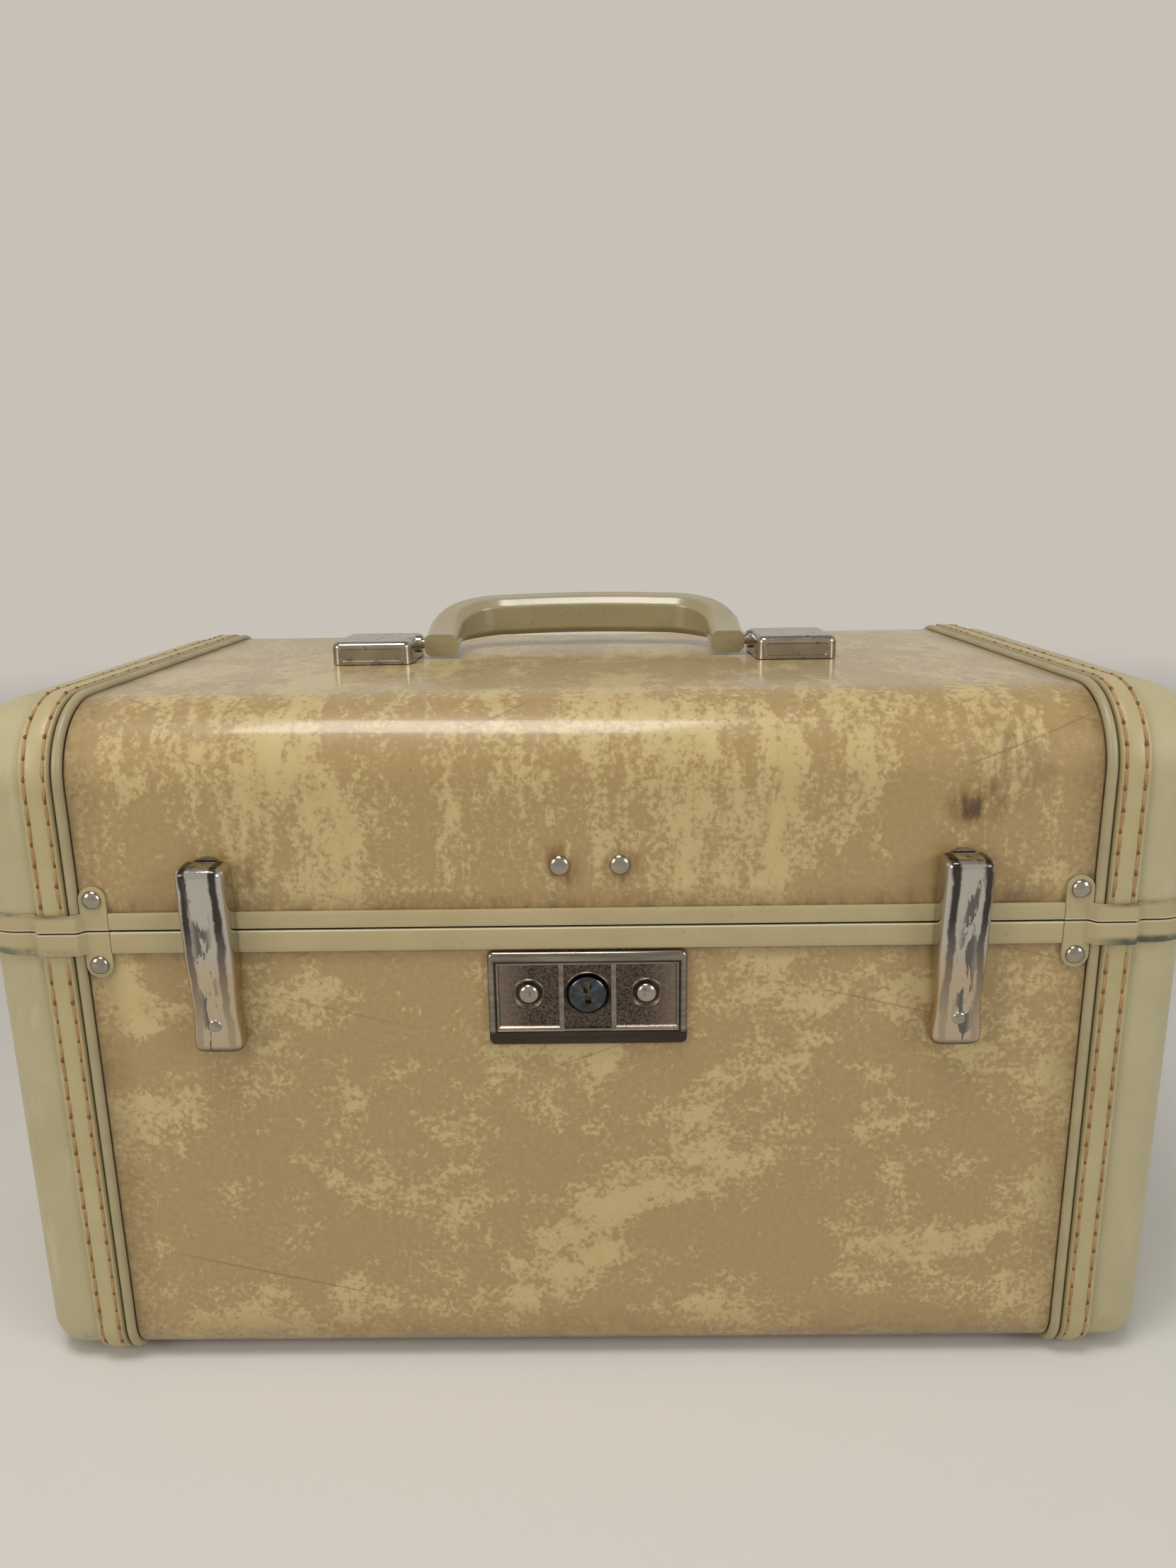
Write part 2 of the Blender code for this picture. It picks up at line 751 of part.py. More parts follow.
def strip(body, facing, place):
    """The painted strip along the front or the back edge, rounded where the halves meet."""
    length = EAR_CENTRE - EAR_WIDTH / 2 - SEAT
    if body == "base":
        edge, far, turn = BASE_RIM_TOP, BASE_RIM_TOP - BASE_STRIP_HEIGHT, -1
    else:
        edge, far, turn = LID_RIM_LOW, LID_RIM_LOW + LID_STRIP_HEIGHT, 1
    near = HALF_DEPTH + SEAT
    out = near + STRIP_THICK
    outline = [(near, edge), (near, far), (out, far), (out, edge + turn * STRIP_EDGE)]
    outline.append((out - STRIP_EDGE, edge))
    outline = [(facing * y, z) for y, z in outline]
    prism(f"{body}_strip_{place}", [outline], -length, length, "side", "painted_steel")


def rims():
    """The steel channels that cap the two walls: the base has the tongue that the lid drops over."""
    corner = END_ROUND

    def ring(inset):
        low = (-HALF_LENGTH + inset, -HALF_DEPTH + inset)
        high = (HALF_LENGTH - inset, HALF_DEPTH - inset)
        return rounded(low, high, corner - inset)

    tongue = LINING_IN
    base = prism(
        "base_rim",
        [ring(0), ring(tongue + RIM_THICK / 2)],
        BASE_RIM_TOP - RIM_THICK,
        BASE_RIM_TOP,
        "plan",
        "zinc",
    )
    leg = prism(
        "base_rim_tongue",
        [ring(tongue), ring(tongue + RIM_THICK)],
        BASE_RIM_TOP - RIM_TONGUE_DROP,
        SPLIT + RIM_TONGUE_RISE,
        "plan",
    )
    join(base, leg)
    reach = TONGUE_WIDTH / 2 + OVERRUN
    slot = block(
        "base_rim_slot",
        (STUD_X - reach, -HALF_DEPTH + tongue - SEAT, BASE_RIM_TOP - RIM_TONGUE_DROP - OVERRUN),
        (STUD_X + reach, -HALF_DEPTH + tongue + RIM_THICK + OVERRUN, SPLIT + RIM_TONGUE_RISE + OVERRUN),
    )
    cut(base, slot)
    prism(
        "lid_rim",
        [ring(0), ring(BOX_IN + BOX_THICK)],
        LID_RIM_LOW,
        LID_RIM_LOW + RIM_THICK,
        "plan",
        "zinc",
    )


def lock(lining):
    """The key lock: framed plate, turning plug, sliding bolt, pan and two rivets."""
    top = LOCK_Z - LOCK_PLATE_DROP + LOCK_HEIGHT / 2
    foot = top - LOCK_HEIGHT
    face = HALF_DEPTH + SEAT + LOCK_PLATE_THICK
    low = (LOCK_X - LOCK_WIDTH / 2, foot)
    high = (LOCK_X + LOCK_WIDTH / 2, top)
    plate = prism(
        "lock_plate", [rounded(low, high, LOCK_EDGE, 2)], -face, -HALF_DEPTH - SEAT, "front", "nickel"
    )
    rib = LOCK_RIB / 2
    columns = (
        (low[0] + LOCK_RIM, LOCK_X - LOCK_RIB_X - rib),
        (LOCK_X - LOCK_RIB_X + rib, LOCK_X + LOCK_RIB_X - rib),
        (LOCK_X + LOCK_RIB_X + rib, high[0] - LOCK_RIM),
    )
    floor = face - LOCK_RECESS
    for number, (start, end) in enumerate(columns):
        panel = rounded((start, foot + LOCK_RIM_FOOT), (end, top - LOCK_RIM_TOP), LOCK_EDGE, 2)
        cut(plate, prism(f"lock_recess_{number}", [panel], -face - OVERRUN, -floor, "front"))
    middle = (LOCK_X, LOCK_Z)
    ring = [circle(middle, LOCK_RING / 2, HINGE_STEPS), circle(middle, PLUG_HEAD / 2 + RUN, HINGE_STEPS)]
    join(plate, prism("lock_ring", ring, -face, -floor + TINY, "front"))
    places = [LOCK_X + side * LOCK_RIVET_X for side in SIDES.values()]
    for name, x in zip(SIDES, places):
        dish = [
            circle((x, LOCK_Z), LOCK_DISH / 2, RIVET_STEPS),
            circle((x, LOCK_Z), LOCK_RIVET_HEAD / 2 + RUN, RIVET_STEPS),
        ]
        join(plate, prism("lock_dish_" + name, dish, -floor - LOCK_RECESS / 2, -floor + TINY, "front"))
    reach = SEAT + LOCK_PLATE_THICK + OVERRUN
    holes = [(x, LOCK_Z, RIVET_SHANK / 2 + RUN, reach, OVERRUN) for x in places]
    holes.append((LOCK_X, LOCK_Z, PLUG_HEAD / 2 + RUN, reach, OVERRUN))
    cut(plate, bores("lock_plate_bores", holes))
    seat = floor - HALF_DEPTH + SEAT
    for name, x in zip(SIDES, places):
        rivet(
            "lock_rivet_" + name,
            x,
            LOCK_Z,
            seat,
            LOCK_RIVET_HEAD,
            RIVET_RISE,
            RIVET_SHANK,
            seat + BOX_IN + BOX_THICK,
        )
    wall_face = HALF_DEPTH - LINING_IN
    bolt_front = wall_face - TONGUE_IN
    head_face = face + PLUG_PROUD
    plug = rod(
        "lock_plug", (LOCK_X, 0, LOCK_Z), PLUG_HEAD / 2, -head_face, -HALF_DEPTH - SEAT, 1, "nickel"
    )
    shaft_end = bolt_front + 2 * RUN
    join(
        plug,
        rod("plug_shaft", (LOCK_X, 0, LOCK_Z), PLUG_SHAFT / 2, -HALF_DEPTH - 2 * SEAT, -shaft_end, 1),
    )
    cam_x = LOCK_X - CAM_RADIUS * math.sin(CAM_START)
    cam_z = LOCK_Z + CAM_RADIUS * math.cos(CAM_START)
    cam_end = bolt_front - BOLT_THICK + TINY
    join(
        plug,
        rod("plug_cam", (cam_x, 0, cam_z), CAM_PIN / 2, -shaft_end - SEAT, -cam_end, 1),
    )
    keyhole = rounded(
        (LOCK_X - KEYHOLE_WIDTH / 2, LOCK_Z - KEYHOLE_HEIGHT / 2),
        (LOCK_X + KEYHOLE_WIDTH / 2, LOCK_Z + KEYHOLE_HEIGHT / 2),
        KEYHOLE_CORNER,
        2,
    )
    cut(
        plug,
        prism("keyhole", [keyhole], -head_face - OVERRUN, -head_face + KEYHOLE_DEPTH, "front"),
    )
    ward = block(
        "keyhole_ward",
        (LOCK_X, -head_face - OVERRUN, LOCK_Z),
        (LOCK_X + KEYHOLE_WIDTH / 2 + KEYHOLE_STEP, -head_face + KEYHOLE_DEPTH / 2, LOCK_Z + KEYHOLE_STEP),
    )
    cut(plug, ward)
    lock_case(lining, bolt_front)
    bolt(cam_x, bolt_front)


def lock_case(lining, bolt_front):
    """The pan behind the front wall that holds the bolt, with a slot for the hasp tongue."""
    wall_face = HALF_DEPTH - LINING_IN
    case_back = bolt_front - BOLT_THICK - SEAT
    low = (LOCK_X - LOCK_CASE_WIDTH / 2, -wall_face, LOCK_Z - LOCK_CASE_DROP)
    high = (
        LOCK_X + LOCK_CASE_WIDTH / 2,
        -case_back + LOCK_CASE_WALL,
        BASE_RIM_TOP - RIM_TONGUE_DROP - LOCK_CASE_UNDER_RIM,
    )
    pan = block("lock_case", low, high, "zinc")
    inside = block(
        "lock_case_hollow",
        (low[0] + LOCK_CASE_WALL, low[1] - OVERRUN, low[2] + LOCK_CASE_WALL),
        (high[0] - LOCK_CASE_WALL, -case_back, high[2] - LOCK_CASE_WALL),
    )
    cut(pan, inside)
    reach = TONGUE_WIDTH / 2 + 2 * RUN
    slot = block(
        "lock_case_slot",
        (STUD_X - reach, low[1] - OVERRUN, high[2] - OVERRUN),
        (STUD_X + reach, -case_back, high[2] + OVERRUN),
    )
    cut(pan, slot)
    window = block(
        "base_lining_window",
        (low[0] - SEAT, low[1] - OVERRUN, low[2] - SEAT),
        (high[0] + SEAT, high[1] + OVERRUN, high[2] + OVERRUN),
    )
    cut(lining, window)


def bolt(cam_x, bolt_front):
    """The flat slide that the cam pushes, with the finger that enters the tongue's notch."""
    travel = 2 * CAM_RADIUS * math.sin(CAM_START)
    tongue_edge = STUD_X - TONGUE_WIDTH / 2
    tip = tongue_edge - 2 * RUN
    column_end = tongue_edge - travel - 2 * RUN
    column_start = column_end - FINGER_WIDTH
    slot_half = CAM_PIN / 2 + RUN
    body_end = cam_x + slot_half + FINGER_WIDTH
    slot_top = LOCK_Z + CAM_RADIUS + slot_half
    body_top = slot_top + FINGER_WIDTH / 2
    body_foot = body_top - BOLT_HEIGHT
    finger_foot = SPLIT - TONGUE_DROP + TONGUE_NOTCH_RISE + RUN
    finger_top = finger_foot + FINGER_REACH
    outline = [
        (column_start, body_foot),
        (cam_x - slot_half, body_foot),
        (cam_x - slot_half, slot_top),
        (cam_x + slot_half, slot_top),
        (cam_x + slot_half, body_foot),
        (body_end, body_foot),
        (body_end, body_top),
        (column_end, body_top),
        (column_end, finger_foot),
        (tip, finger_foot),
        (tip, finger_top),
        (column_start, finger_top),
    ]
    prism("lock_bolt", [outline], -bolt_front, -bolt_front + BOLT_THICK, "front", "zinc")


def hasp(lining):
    """The plate inside the lid, its tongue, and the two studs that rivet it through the wall."""
    wall_face = HALF_DEPTH - LINING_IN
    foot = SPLIT + HASP_FOOT_RISE
    top = SPLIT + STUD_RISE + HASP_OVER_STUD
    half = HASP_WIDTH / 2
    plate = block(
        "lid_hasp", (STUD_X - half, -wall_face, foot), (STUD_X + half, -wall_face + HASP_THICK, top), "zinc"
    )
    tongue_face = wall_face - TONGUE_IN
    reach = TONGUE_WIDTH / 2
    low = SPLIT - TONGUE_DROP
    notch_low = low + TONGUE_NOTCH_RISE
    notch_high = notch_low + FINGER_REACH + 2 * RUN
    left = STUD_X - reach
    right = STUD_X + reach
    outline = [
        (left, low),
        (right, low),
        (right, foot + HASP_THICK),
        (left, foot + HASP_THICK),
        (left, notch_high),
        (left + TONGUE_NOTCH, notch_high),
        (left + TONGUE_NOTCH, notch_low),
        (left, notch_low),
    ]
    join(plate, prism("hasp_tongue", [outline], -tongue_face, -tongue_face + HASP_THICK, "front"))
    step = block(
        "hasp_step",
        (left, -wall_face + TINY, foot + TINY),
        (right, -tongue_face + HASP_THICK - TINY, foot + HASP_THICK - TINY),
    )
    join(plate, step)
    studs = [STUD_X + side * STUD_SPACING / 2 for side in SIDES.values()]
    stud_z = SPLIT + STUD_RISE
    depth = LINING_IN + HASP_THICK
    holes = [(x, stud_z, RIVET_SHANK / 2 + RUN, 0, depth + OVERRUN) for x in studs]
    cut(plate, bores("hasp_bores", holes))
    for name, x in zip(SIDES, studs):
        rivet("lid_stud_" + name, x, stud_z, SEAT, STUD_HEAD, RIVET_RISE, RIVET_SHANK, SEAT + depth)
    window = block(
        "lid_lining_window",
        (STUD_X - half - SEAT, -wall_face - OVERRUN, LID_LINING_LOW - OVERRUN),
        (STUD_X + half + SEAT, -wall_face + HASP_THICK + OVERRUN, top + SEAT),
    )
    cut(lining, window)


def side_outline(points, facing=FRONT):
    """Points given as (out from the cover, height) turned into Y,Z points on one face."""
    return [(facing * (HALF_DEPTH + out), height) for out, height in points]


def latch_plate(side_name, x):
    """The plate riveted to the base, with two ears that carry the link's pin past the strip."""
    top = BASE_RIM_TOP - BASE_STRIP_HEIGHT - SEAT
    foot = top - LATCH_PLATE_HEIGHT
    half = LATCH_PLATE_WIDTH / 2
    plate = prism(
        "latch_plate_" + side_name,
        [rounded((x - half, foot), (x + half, top), LATCH_PLATE_CORNER)],
        -HALF_DEPTH - SEAT - LATCH_PLATE_THICK,
        -HALF_DEPTH - SEAT,
        "front",
        "nickel",
    )
    eye = LATCH_PIN / 2 + RUN + LATCH_EYE_WALL
    middle = (LATCH_PIVOT_OUT, LATCH_PIVOT_Z)
    root = SEAT + LATCH_PLATE_THICK / 2
    outline = [(root, top - LATCH_PLATE_DROP)]
    outline += arc(middle, eye, -30, 180, EAR_STEPS)
    outline += [(middle[0] - eye, top - TINY), (root, top - TINY)]
    inner = LINK_WIDTH / 2 + RUN
    for name, side in SIDES.items():
        near, far = sorted((x + side * inner, x + side * (inner + LATCH_EAR_THICK)))
        join(plate, prism(f"{plate.name}_{name}_ear", [side_outline(outline)], near, far, "side"))
    reach = inner + LATCH_EAR_THICK - TINY
    join(
        plate,
        rod(
            plate.name + "_pin",
            (0, -HALF_DEPTH - LATCH_PIVOT_OUT, LATCH_PIVOT_Z),
            LATCH_PIN / 2,
            x - reach,
            x + reach,
            0,
            steps=LATCH_STEPS,
        ),
    )


def latch_link(side_name, x):
    """The link with an eye at each end, from the plate's pin down to the lever's pin."""
    eye = LATCH_PIN / 2 + RUN + LATCH_EYE_WALL
    waist = math.degrees(math.asin(LINK_THICK / 2 / eye))
    upper = (LATCH_PIVOT_OUT, LATCH_PIVOT_Z)
    lower = (LATCH_PIVOT_OUT, LEVER_PIVOT_Z)
    outline = arc(upper, eye, -90 + waist, 270 - waist, LATCH_STEPS)
    outline += arc(lower, eye, 90 + waist, 450 - waist, LATCH_STEPS)
    holes = [
        side_outline(circle(middle, LATCH_PIN / 2 + RUN, LATCH_STEPS)) for middle in (upper, lower)
    ]
    prism(
        "latch_link_" + side_name,
        [side_outline(outline), *holes],
        x - LINK_WIDTH / 2,
        x + LINK_WIDTH / 2,
        "side",
        "nickel",
    )


def latch_lever(side_name, x):
    """The hollow pressed lever with its hooked top, waist, flared foot, pin and front rivet."""
    foot = LEVER_PIVOT_Z - LEVER_FOOT_DROP
    top = LEVER_PIVOT_Z + LEVER_TOP_RISE
    height = top - foot
    shape = bmesh.new()
    bmesh.ops.create_cube(shape, size=1.0)
    back = [face for face in shape.faces if face.normal.y > 0.5 or face.normal.z < -0.5]
    bmesh.ops.scale(shape, vec=(LEVER_WIDTH, LEVER_TOP_OUT - LEVER_BACK_OUT, height), verts=shape.verts)
    bmesh.ops.translate(
        shape,
        vec=(0, -(LEVER_TOP_OUT + LEVER_BACK_OUT) / 2, (foot + top) / 2),
        verts=shape.verts,
    )
    bmesh.ops.delete(shape, geom=back, context="FACES")
    folds = [edge for edge in shape.edges if not edge.is_boundary]
    bmesh.ops.bevel(
        shape, geom=folds, offset=LEVER_CORNER, segments=LEVER_CORNER_STEPS, profile=0.5, affect="EDGES"
    )
    for share in LEVER_ROW_SHARES:
        score(shape, 2, foot + height * share)
    for vert in shape.verts:
        share = (vert.co.z - foot) / height
        neck = max(0.0, 1.0 - abs(share / LEVER_WAIST_SHARE - 1.0))
        width = 1.0 - (1.0 - LEVER_WAIST / LEVER_WIDTH) * neck
        front = LEVER_FOOT_OUT + (LEVER_TOP_OUT - LEVER_FOOT_OUT) * share
        flare = LEVER_WALL * max(0.0, 1.0 - share / LEVER_FLARE_SHARE)
        ratio = (-vert.co.y - LEVER_BACK_OUT) / (LEVER_TOP_OUT - LEVER_BACK_OUT)
        vert.co.x = x + vert.co.x * width
        vert.co.y = -HALF_DEPTH - LEVER_BACK_OUT - (front + flare - LEVER_BACK_OUT) * ratio
    lever = shell("latch_lever_" + side_name, shape, LEVER_WALL, "nickel")
    reach = LEVER_WAIST / 2 - LEVER_WALL / 2
    join(
        lever,
        rod(
            lever.name + "_pin",
            (0, -HALF_DEPTH - LATCH_PIVOT_OUT, LEVER_PIVOT_Z),
            LATCH_PIN / 2,
            x - reach,
            x + reach,
            0,
            steps=LATCH_STEPS,
        ),
    )
    hook_half = STRIKE_WIDTH / 2 - LEVER_WALL
    join(
        lever,
        block(
            lever.name + "_hook",
            (x - hook_half, -HALF_DEPTH - HOOK_LIP_OUT - LEVER_WALL, top - LEVER_WALL - HOOK_LIP_DROP),
            (x + hook_half, -HALF_DEPTH - HOOK_LIP_OUT, top - LEVER_WALL / 2),
        ),
    )
    share = LEVER_FOOT_DROP / height
    front = LEVER_FOOT_OUT + (LEVER_TOP_OUT - LEVER_FOOT_OUT) * share
    join(
        lever,
        rivet(
            lever.name + "_rivet",
            x,
            LEVER_PIVOT_Z,
            front - LEVER_RIVET_SINK,
            LEVER_RIVET_HEAD,
            RIVET_RISE,
            RIVET_SHANK / 2,
            LEVER_RIVET_SINK,
        ),
    )


def strike(side_name, x):
    """The half-round plate on the lid whose lipped ledge the lever's hook pulls down."""
    top = LEVER_PIVOT_Z + LEVER_TOP_RISE + STRIKE_PEEK
    half = STRIKE_WIDTH / 2
    outline = [(x - half, top - STRIKE_DROP), (x + half, top - STRIKE_DROP)]
    outline += arc((x, top - half), half, 0, 180, LATCH_STEPS)
    out = SEAT + STRIKE_THICK
    plate = prism(
        "strike_" + side_name, [outline], -HALF_DEPTH - out, -HALF_DEPTH - SEAT, "front", "nickel"
    )
    lever_top = LEVER_PIVOT_Z + LEVER_TOP_RISE
    ledge_top = lever_top - LEVER_WALL - HOOK_LIP_DROP - HOOK_AIR
    lip = STRIKE_LEDGE_OUT - STRIKE_LIP
    ledge = [
        (out - STRIKE_THICK / 2, ledge_top - STRIKE_LIP),
        (STRIKE_LEDGE_OUT, ledge_top - STRIKE_LIP),
        (STRIKE_LEDGE_OUT, ledge_top + STRIKE_LIP_RISE),
        (lip, ledge_top + STRIKE_LIP_RISE),
        (lip, ledge_top),
        (out - STRIKE_THICK / 2, ledge_top),
    ]
    reach = half - LEVER_WALL
    join(plate, prism(plate.name + "_ledge", [side_outline(ledge)], x - reach, x + reach, "side"))


def hinge(side_name, x):
    """One back hinge: a leaf on each half, jogged out past the strips, and the pin."""
    half = HINGE_WIDTH / 2
    middle = HINGE_MIDDLE / 2
    knuckle = HINGE_KNUCKLE / 2
    centre = (HINGE_OUT, SPLIT)
    outer = SEAT + HINGE_PLATE
    clear = HINGE_OUT - knuckle
    ranges = {
        "base": ((x - half, x - middle - RUN), (x + middle + RUN, x + half)),
        "lid": ((x - middle, x + middle),),
    }
    for body, spans in ranges.items():
        if body == "base":
            turn, edge = -1, BASE_RIM_TOP - BASE_STRIP_HEIGHT - SEAT
        else:
            turn, edge = 1, LID_RIM_LOW + LID_STRIP_HEIGHT + SEAT
        far = edge + turn * HINGE_PLATE_HEIGHT
        low, high = sorted((edge, far))
        leaf = prism(
            f"{body}_hinge_leaf_{side_name}",
            [rounded((x - half, low), (x + half, high), HINGE_CORNER)],
            HALF_DEPTH + SEAT,
            HALF_DEPTH + outer,
            "front",
            "nickel",
        )
        meet = math.degrees(math.acos((HINGE_OUT - clear - HINGE_PLATE) / knuckle))
        start = SPLIT + turn * knuckle * math.sin(math.radians(meet))
        outline = [
            (SEAT, edge + turn * HINGE_CORNER),
            (outer, edge + turn * HINGE_CORNER),
            (outer, edge + turn * 2 * HINGE_PLATE),
            (clear + HINGE_PLATE, edge + turn * HINGE_PLATE),
            (clear + HINGE_PLATE, start),
        ]
        if body == "base":
            outline += arc(centre, knuckle, -180 + meet, 180, HINGE_STEPS)[1:]
        else:
            outline += arc(centre, knuckle, 180 - meet, -180, HINGE_STEPS)[1:]
        outline += [(clear, edge), (SEAT, edge)]
        bore = side_outline(circle(centre, HINGE_PIN / 2 + RUN, HINGE_STEPS), BACK)
        for number, (near, far) in enumerate(spans):
            name = f"{leaf.name}_knuckle_{number}"
            join(leaf, prism(name, [side_outline(outline, BACK), bore], near, far, "side"))
    rod(
        "hinge_pin_" + side_name,
        (0, HALF_DEPTH + HINGE_OUT, SPLIT),
        HINGE_PIN / 2,
        x - half,
        x + half,
        0,
        "nickel",
    )


def handle_box(side_name):
    """The pressed box that carries one end of the handle on its pin."""
    side = SIDES[side_name]
    near = HANDLE_SPAN / 2 + HANDLE_BOX_GAP
    size = (HANDLE_BOX_LENGTH, HANDLE_BOX_DEPTH, HANDLE_BOX_HEIGHT)
    foot = COVER_TOP + SEAT
    centre_x = side * (near + HANDLE_BOX_LENGTH / 2)
    shape = bmesh.new()
    bmesh.ops.create_cube(shape, size=1.0)
    under = [face for face in shape.faces if face.normal.z < -0.5]
    bmesh.ops.scale(shape, vec=size, verts=shape.verts)
    bmesh.ops.translate(
        shape, vec=(centre_x, HANDLE_BOX_CENTRE_Y, foot + HANDLE_BOX_HEIGHT / 2), verts=shape.verts
    )
    bmesh.ops.delete(shape, geom=under, context="FACES")
    folds = [edge for edge in shape.edges if not edge.is_boundary]
    bmesh.ops.bevel(
        shape, geom=folds, offset=HANDLE_BOX_EDGE, segments=3, profile=0.5, affect="EDGES"
    )
    box = shell("handle_box_" + side_name, shape, HANDLE_BOX_WALL, "nickel")
    front = HANDLE_BOX_CENTRE_Y - HANDLE_BOX_DEPTH / 2
    half = HANDLE_BOX_LENGTH / 2 - PANEL_INSET
    panel = rounded(
        (centre_x - half, foot + PANEL_INSET / 2),
        (centre_x + half, foot + HANDLE_BOX_HEIGHT - PANEL_INSET),
        PANEL_INSET / 2,
    )
    cut(box, prism(box.name + "_panel", [panel], front - OVERRUN, front + PANEL_DEPTH, "front"))
    pin_ends = sorted((side * (near + HANDLE_BOX_WALL / 2), side * (near - HANDLE_BOX_GAP - PIN_REACH)))
    join(
        box,
        rod(
            box.name + "_pin",
            (0, HANDLE_PIVOT_Y, HANDLE_PIVOT_Z),
            HANDLE_PIN / 2,
            *pin_ends,
            0,
        ),
    )


def handle():
    """The moulded handle, folded back: a bowed grip between two flatter arms."""
    half = HANDLE_SPAN / 2 - GRIP_THICK / 2
    corner_y = HANDLE_REACH - HANDLE_CORNER
    profile = bpy.data.curves.new("handle_section", "CURVE")
    profile.dimensions = "2D"
    spline = profile.splines.new("POLY")
    spline.points.add(SECTION_SIDES - 1)
    for number, point in enumerate(spline.points):
        angle = math.tau * (number + 0.5) / SECTION_SIDES
        square = abs(math.cos(angle)) ** GRIP_SQUARENESS + abs(math.sin(angle)) ** GRIP_SQUARENESS
        reach = square ** (-1 / GRIP_SQUARENESS)
        radius = GRIP_THICK / 2 * reach
        point.co = (radius * math.cos(angle), radius * math.sin(angle), 0, 1)
    spline.use_cyclic_u = True
    section = bpy.data.objects.new("handle_section", profile)
    CUTTERS.objects.link(section)
    line = [(-half, -HANDLE_END), (-half, corner_y / 2)]
    line += arc((-half + HANDLE_CORNER, corner_y), HANDLE_CORNER, 180, 90, HANDLE_CORNER_STEPS)
    reach = half - HANDLE_CORNER
    for number in range(1, GRIP_POINTS):
        x = -reach + 2 * reach * number / GRIP_POINTS
        line.append((x, HANDLE_REACH + HANDLE_BOW * (1 - (x / reach) ** 2)))
    line += [(-x, y) for x, y in reversed(line[: HANDLE_CORNER_STEPS + 3])]
    curve = bpy.data.curves.new("handle_path", "CURVE")
    curve.dimensions = "3D"
    curve.bevel_mode = "OBJECT"
    curve.bevel_object = section
    curve.use_fill_caps = True
    path = curve.splines.new("POLY")
    path.points.add(len(line) - 1)
    for point, (x, y) in zip(path.points, line):
        point.co = (x, y, 0, 1)
    guide = bpy.data.objects.new("handle_path", curve)
    CUTTERS.objects.link(guide)
    shape = mesh_of(guide)
    bpy.data.objects.remove(section, do_unlink=True)
    for vert in shape.verts:
        share = min(1.0, max(0.0, vert.co.y / corner_y / 2))
        blend = share * share * (3 - 2 * share)
        tall = ARM_HEIGHT + (GRIP_HEIGHT - ARM_HEIGHT) * blend
        vert.co.z *= tall / GRIP_THICK
    place = Matrix.Translation((0, HANDLE_PIVOT_Y, HANDLE_PIVOT_Z))
    turn = place @ Matrix.Rotation(HANDLE_TILT, 4, "X")
    bmesh.ops.transform(shape, matrix=turn, verts=shape.verts)
    piece = finish_piece(mesh_object("handle", shape), "moulded_plastic")
    for name, side in SIDES.items():
        ends = sorted((side * (HANDLE_SPAN / 2 + OVERRUN), side * (HANDLE_SPAN / 2 - PIN_REACH - RUN)))
        bore = rod(
            f"handle_bore_{name}",
            (0, HANDLE_PIVOT_Y, HANDLE_PIVOT_Z),
            HANDLE_PIN / 2 + RUN,
            *ends,
            0,
        )
        cut(piece, bore)


def mirror():
    """The mirror inside the lid and the pressed frame that holds it to the lining."""
    ceiling = COVER_TOP - CAVITY_IN - SEAT
    half = (MIRROR_LENGTH / 2, MIRROR_DEPTH / 2)

    def plate(grow):
        low = (-half[0] - grow, -half[1] - grow)
        high = (half[0] + grow, half[1] + grow)
        return rounded(low, high, MIRROR_CORNER + grow)

    frame = prism(
        "mirror_frame",
        [plate(FRAME_BORDER - FRAME_LIP), plate(-FRAME_LIP)],
        ceiling - FRAME_THICK,
        ceiling,
        "plan",
        "nickel",
    )
    rabbet = prism(
        "mirror_rabbet", [plate(SEAT)], ceiling - FRAME_THICK + FRAME_FACE, ceiling + OVERRUN, "plan"
    )
    cut(frame, rabbet)
    low = ceiling - FRAME_THICK + FRAME_FACE + SEAT
    prism("mirror", [plate(0)], low, low + MIRROR_THICK, "plan", "mirror_glass")


for half_name in ("base", "lid"):
    half_lining = walls(half_name)
    for end_name in SIDES:
        end_skins(half_name, end_name)
        strap(half_name, end_name)
    strip(half_name, FRONT, "front")
    strip(half_name, BACK, "back")
    if half_name == "base":
        lock(half_lining)
    else:
        hasp(half_lining)
rims()
for end_name, end_side in SIDES.items():
    latch_plate(end_name, end_side * LATCH_X)
    latch_link(end_name, end_side * LATCH_X)
    latch_lever(end_name, end_side * LATCH_X)
    strike(end_name, end_side * LATCH_X)
    hinge(end_name, end_side * HINGE_X)
    handle_box(end_name)
handle()
mirror()
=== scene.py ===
import math
import bmesh
import bpy
from mathutils import Matrix, Vector


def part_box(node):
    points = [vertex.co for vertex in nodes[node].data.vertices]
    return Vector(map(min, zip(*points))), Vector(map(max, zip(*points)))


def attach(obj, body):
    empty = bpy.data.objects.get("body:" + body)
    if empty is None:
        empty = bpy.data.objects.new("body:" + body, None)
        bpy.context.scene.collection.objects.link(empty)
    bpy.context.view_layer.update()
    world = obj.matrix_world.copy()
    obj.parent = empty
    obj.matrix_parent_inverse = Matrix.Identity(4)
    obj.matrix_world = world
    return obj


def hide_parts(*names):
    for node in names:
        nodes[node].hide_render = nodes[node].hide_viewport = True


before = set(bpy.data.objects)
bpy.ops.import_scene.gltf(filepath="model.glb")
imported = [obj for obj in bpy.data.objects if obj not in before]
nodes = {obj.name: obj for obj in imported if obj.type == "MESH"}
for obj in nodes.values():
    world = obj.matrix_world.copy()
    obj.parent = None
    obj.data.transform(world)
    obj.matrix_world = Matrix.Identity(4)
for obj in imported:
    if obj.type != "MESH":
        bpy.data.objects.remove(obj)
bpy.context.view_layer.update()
scene = bpy.context.scene
scene.view_settings.view_transform = "Standard"
MM = 0.001


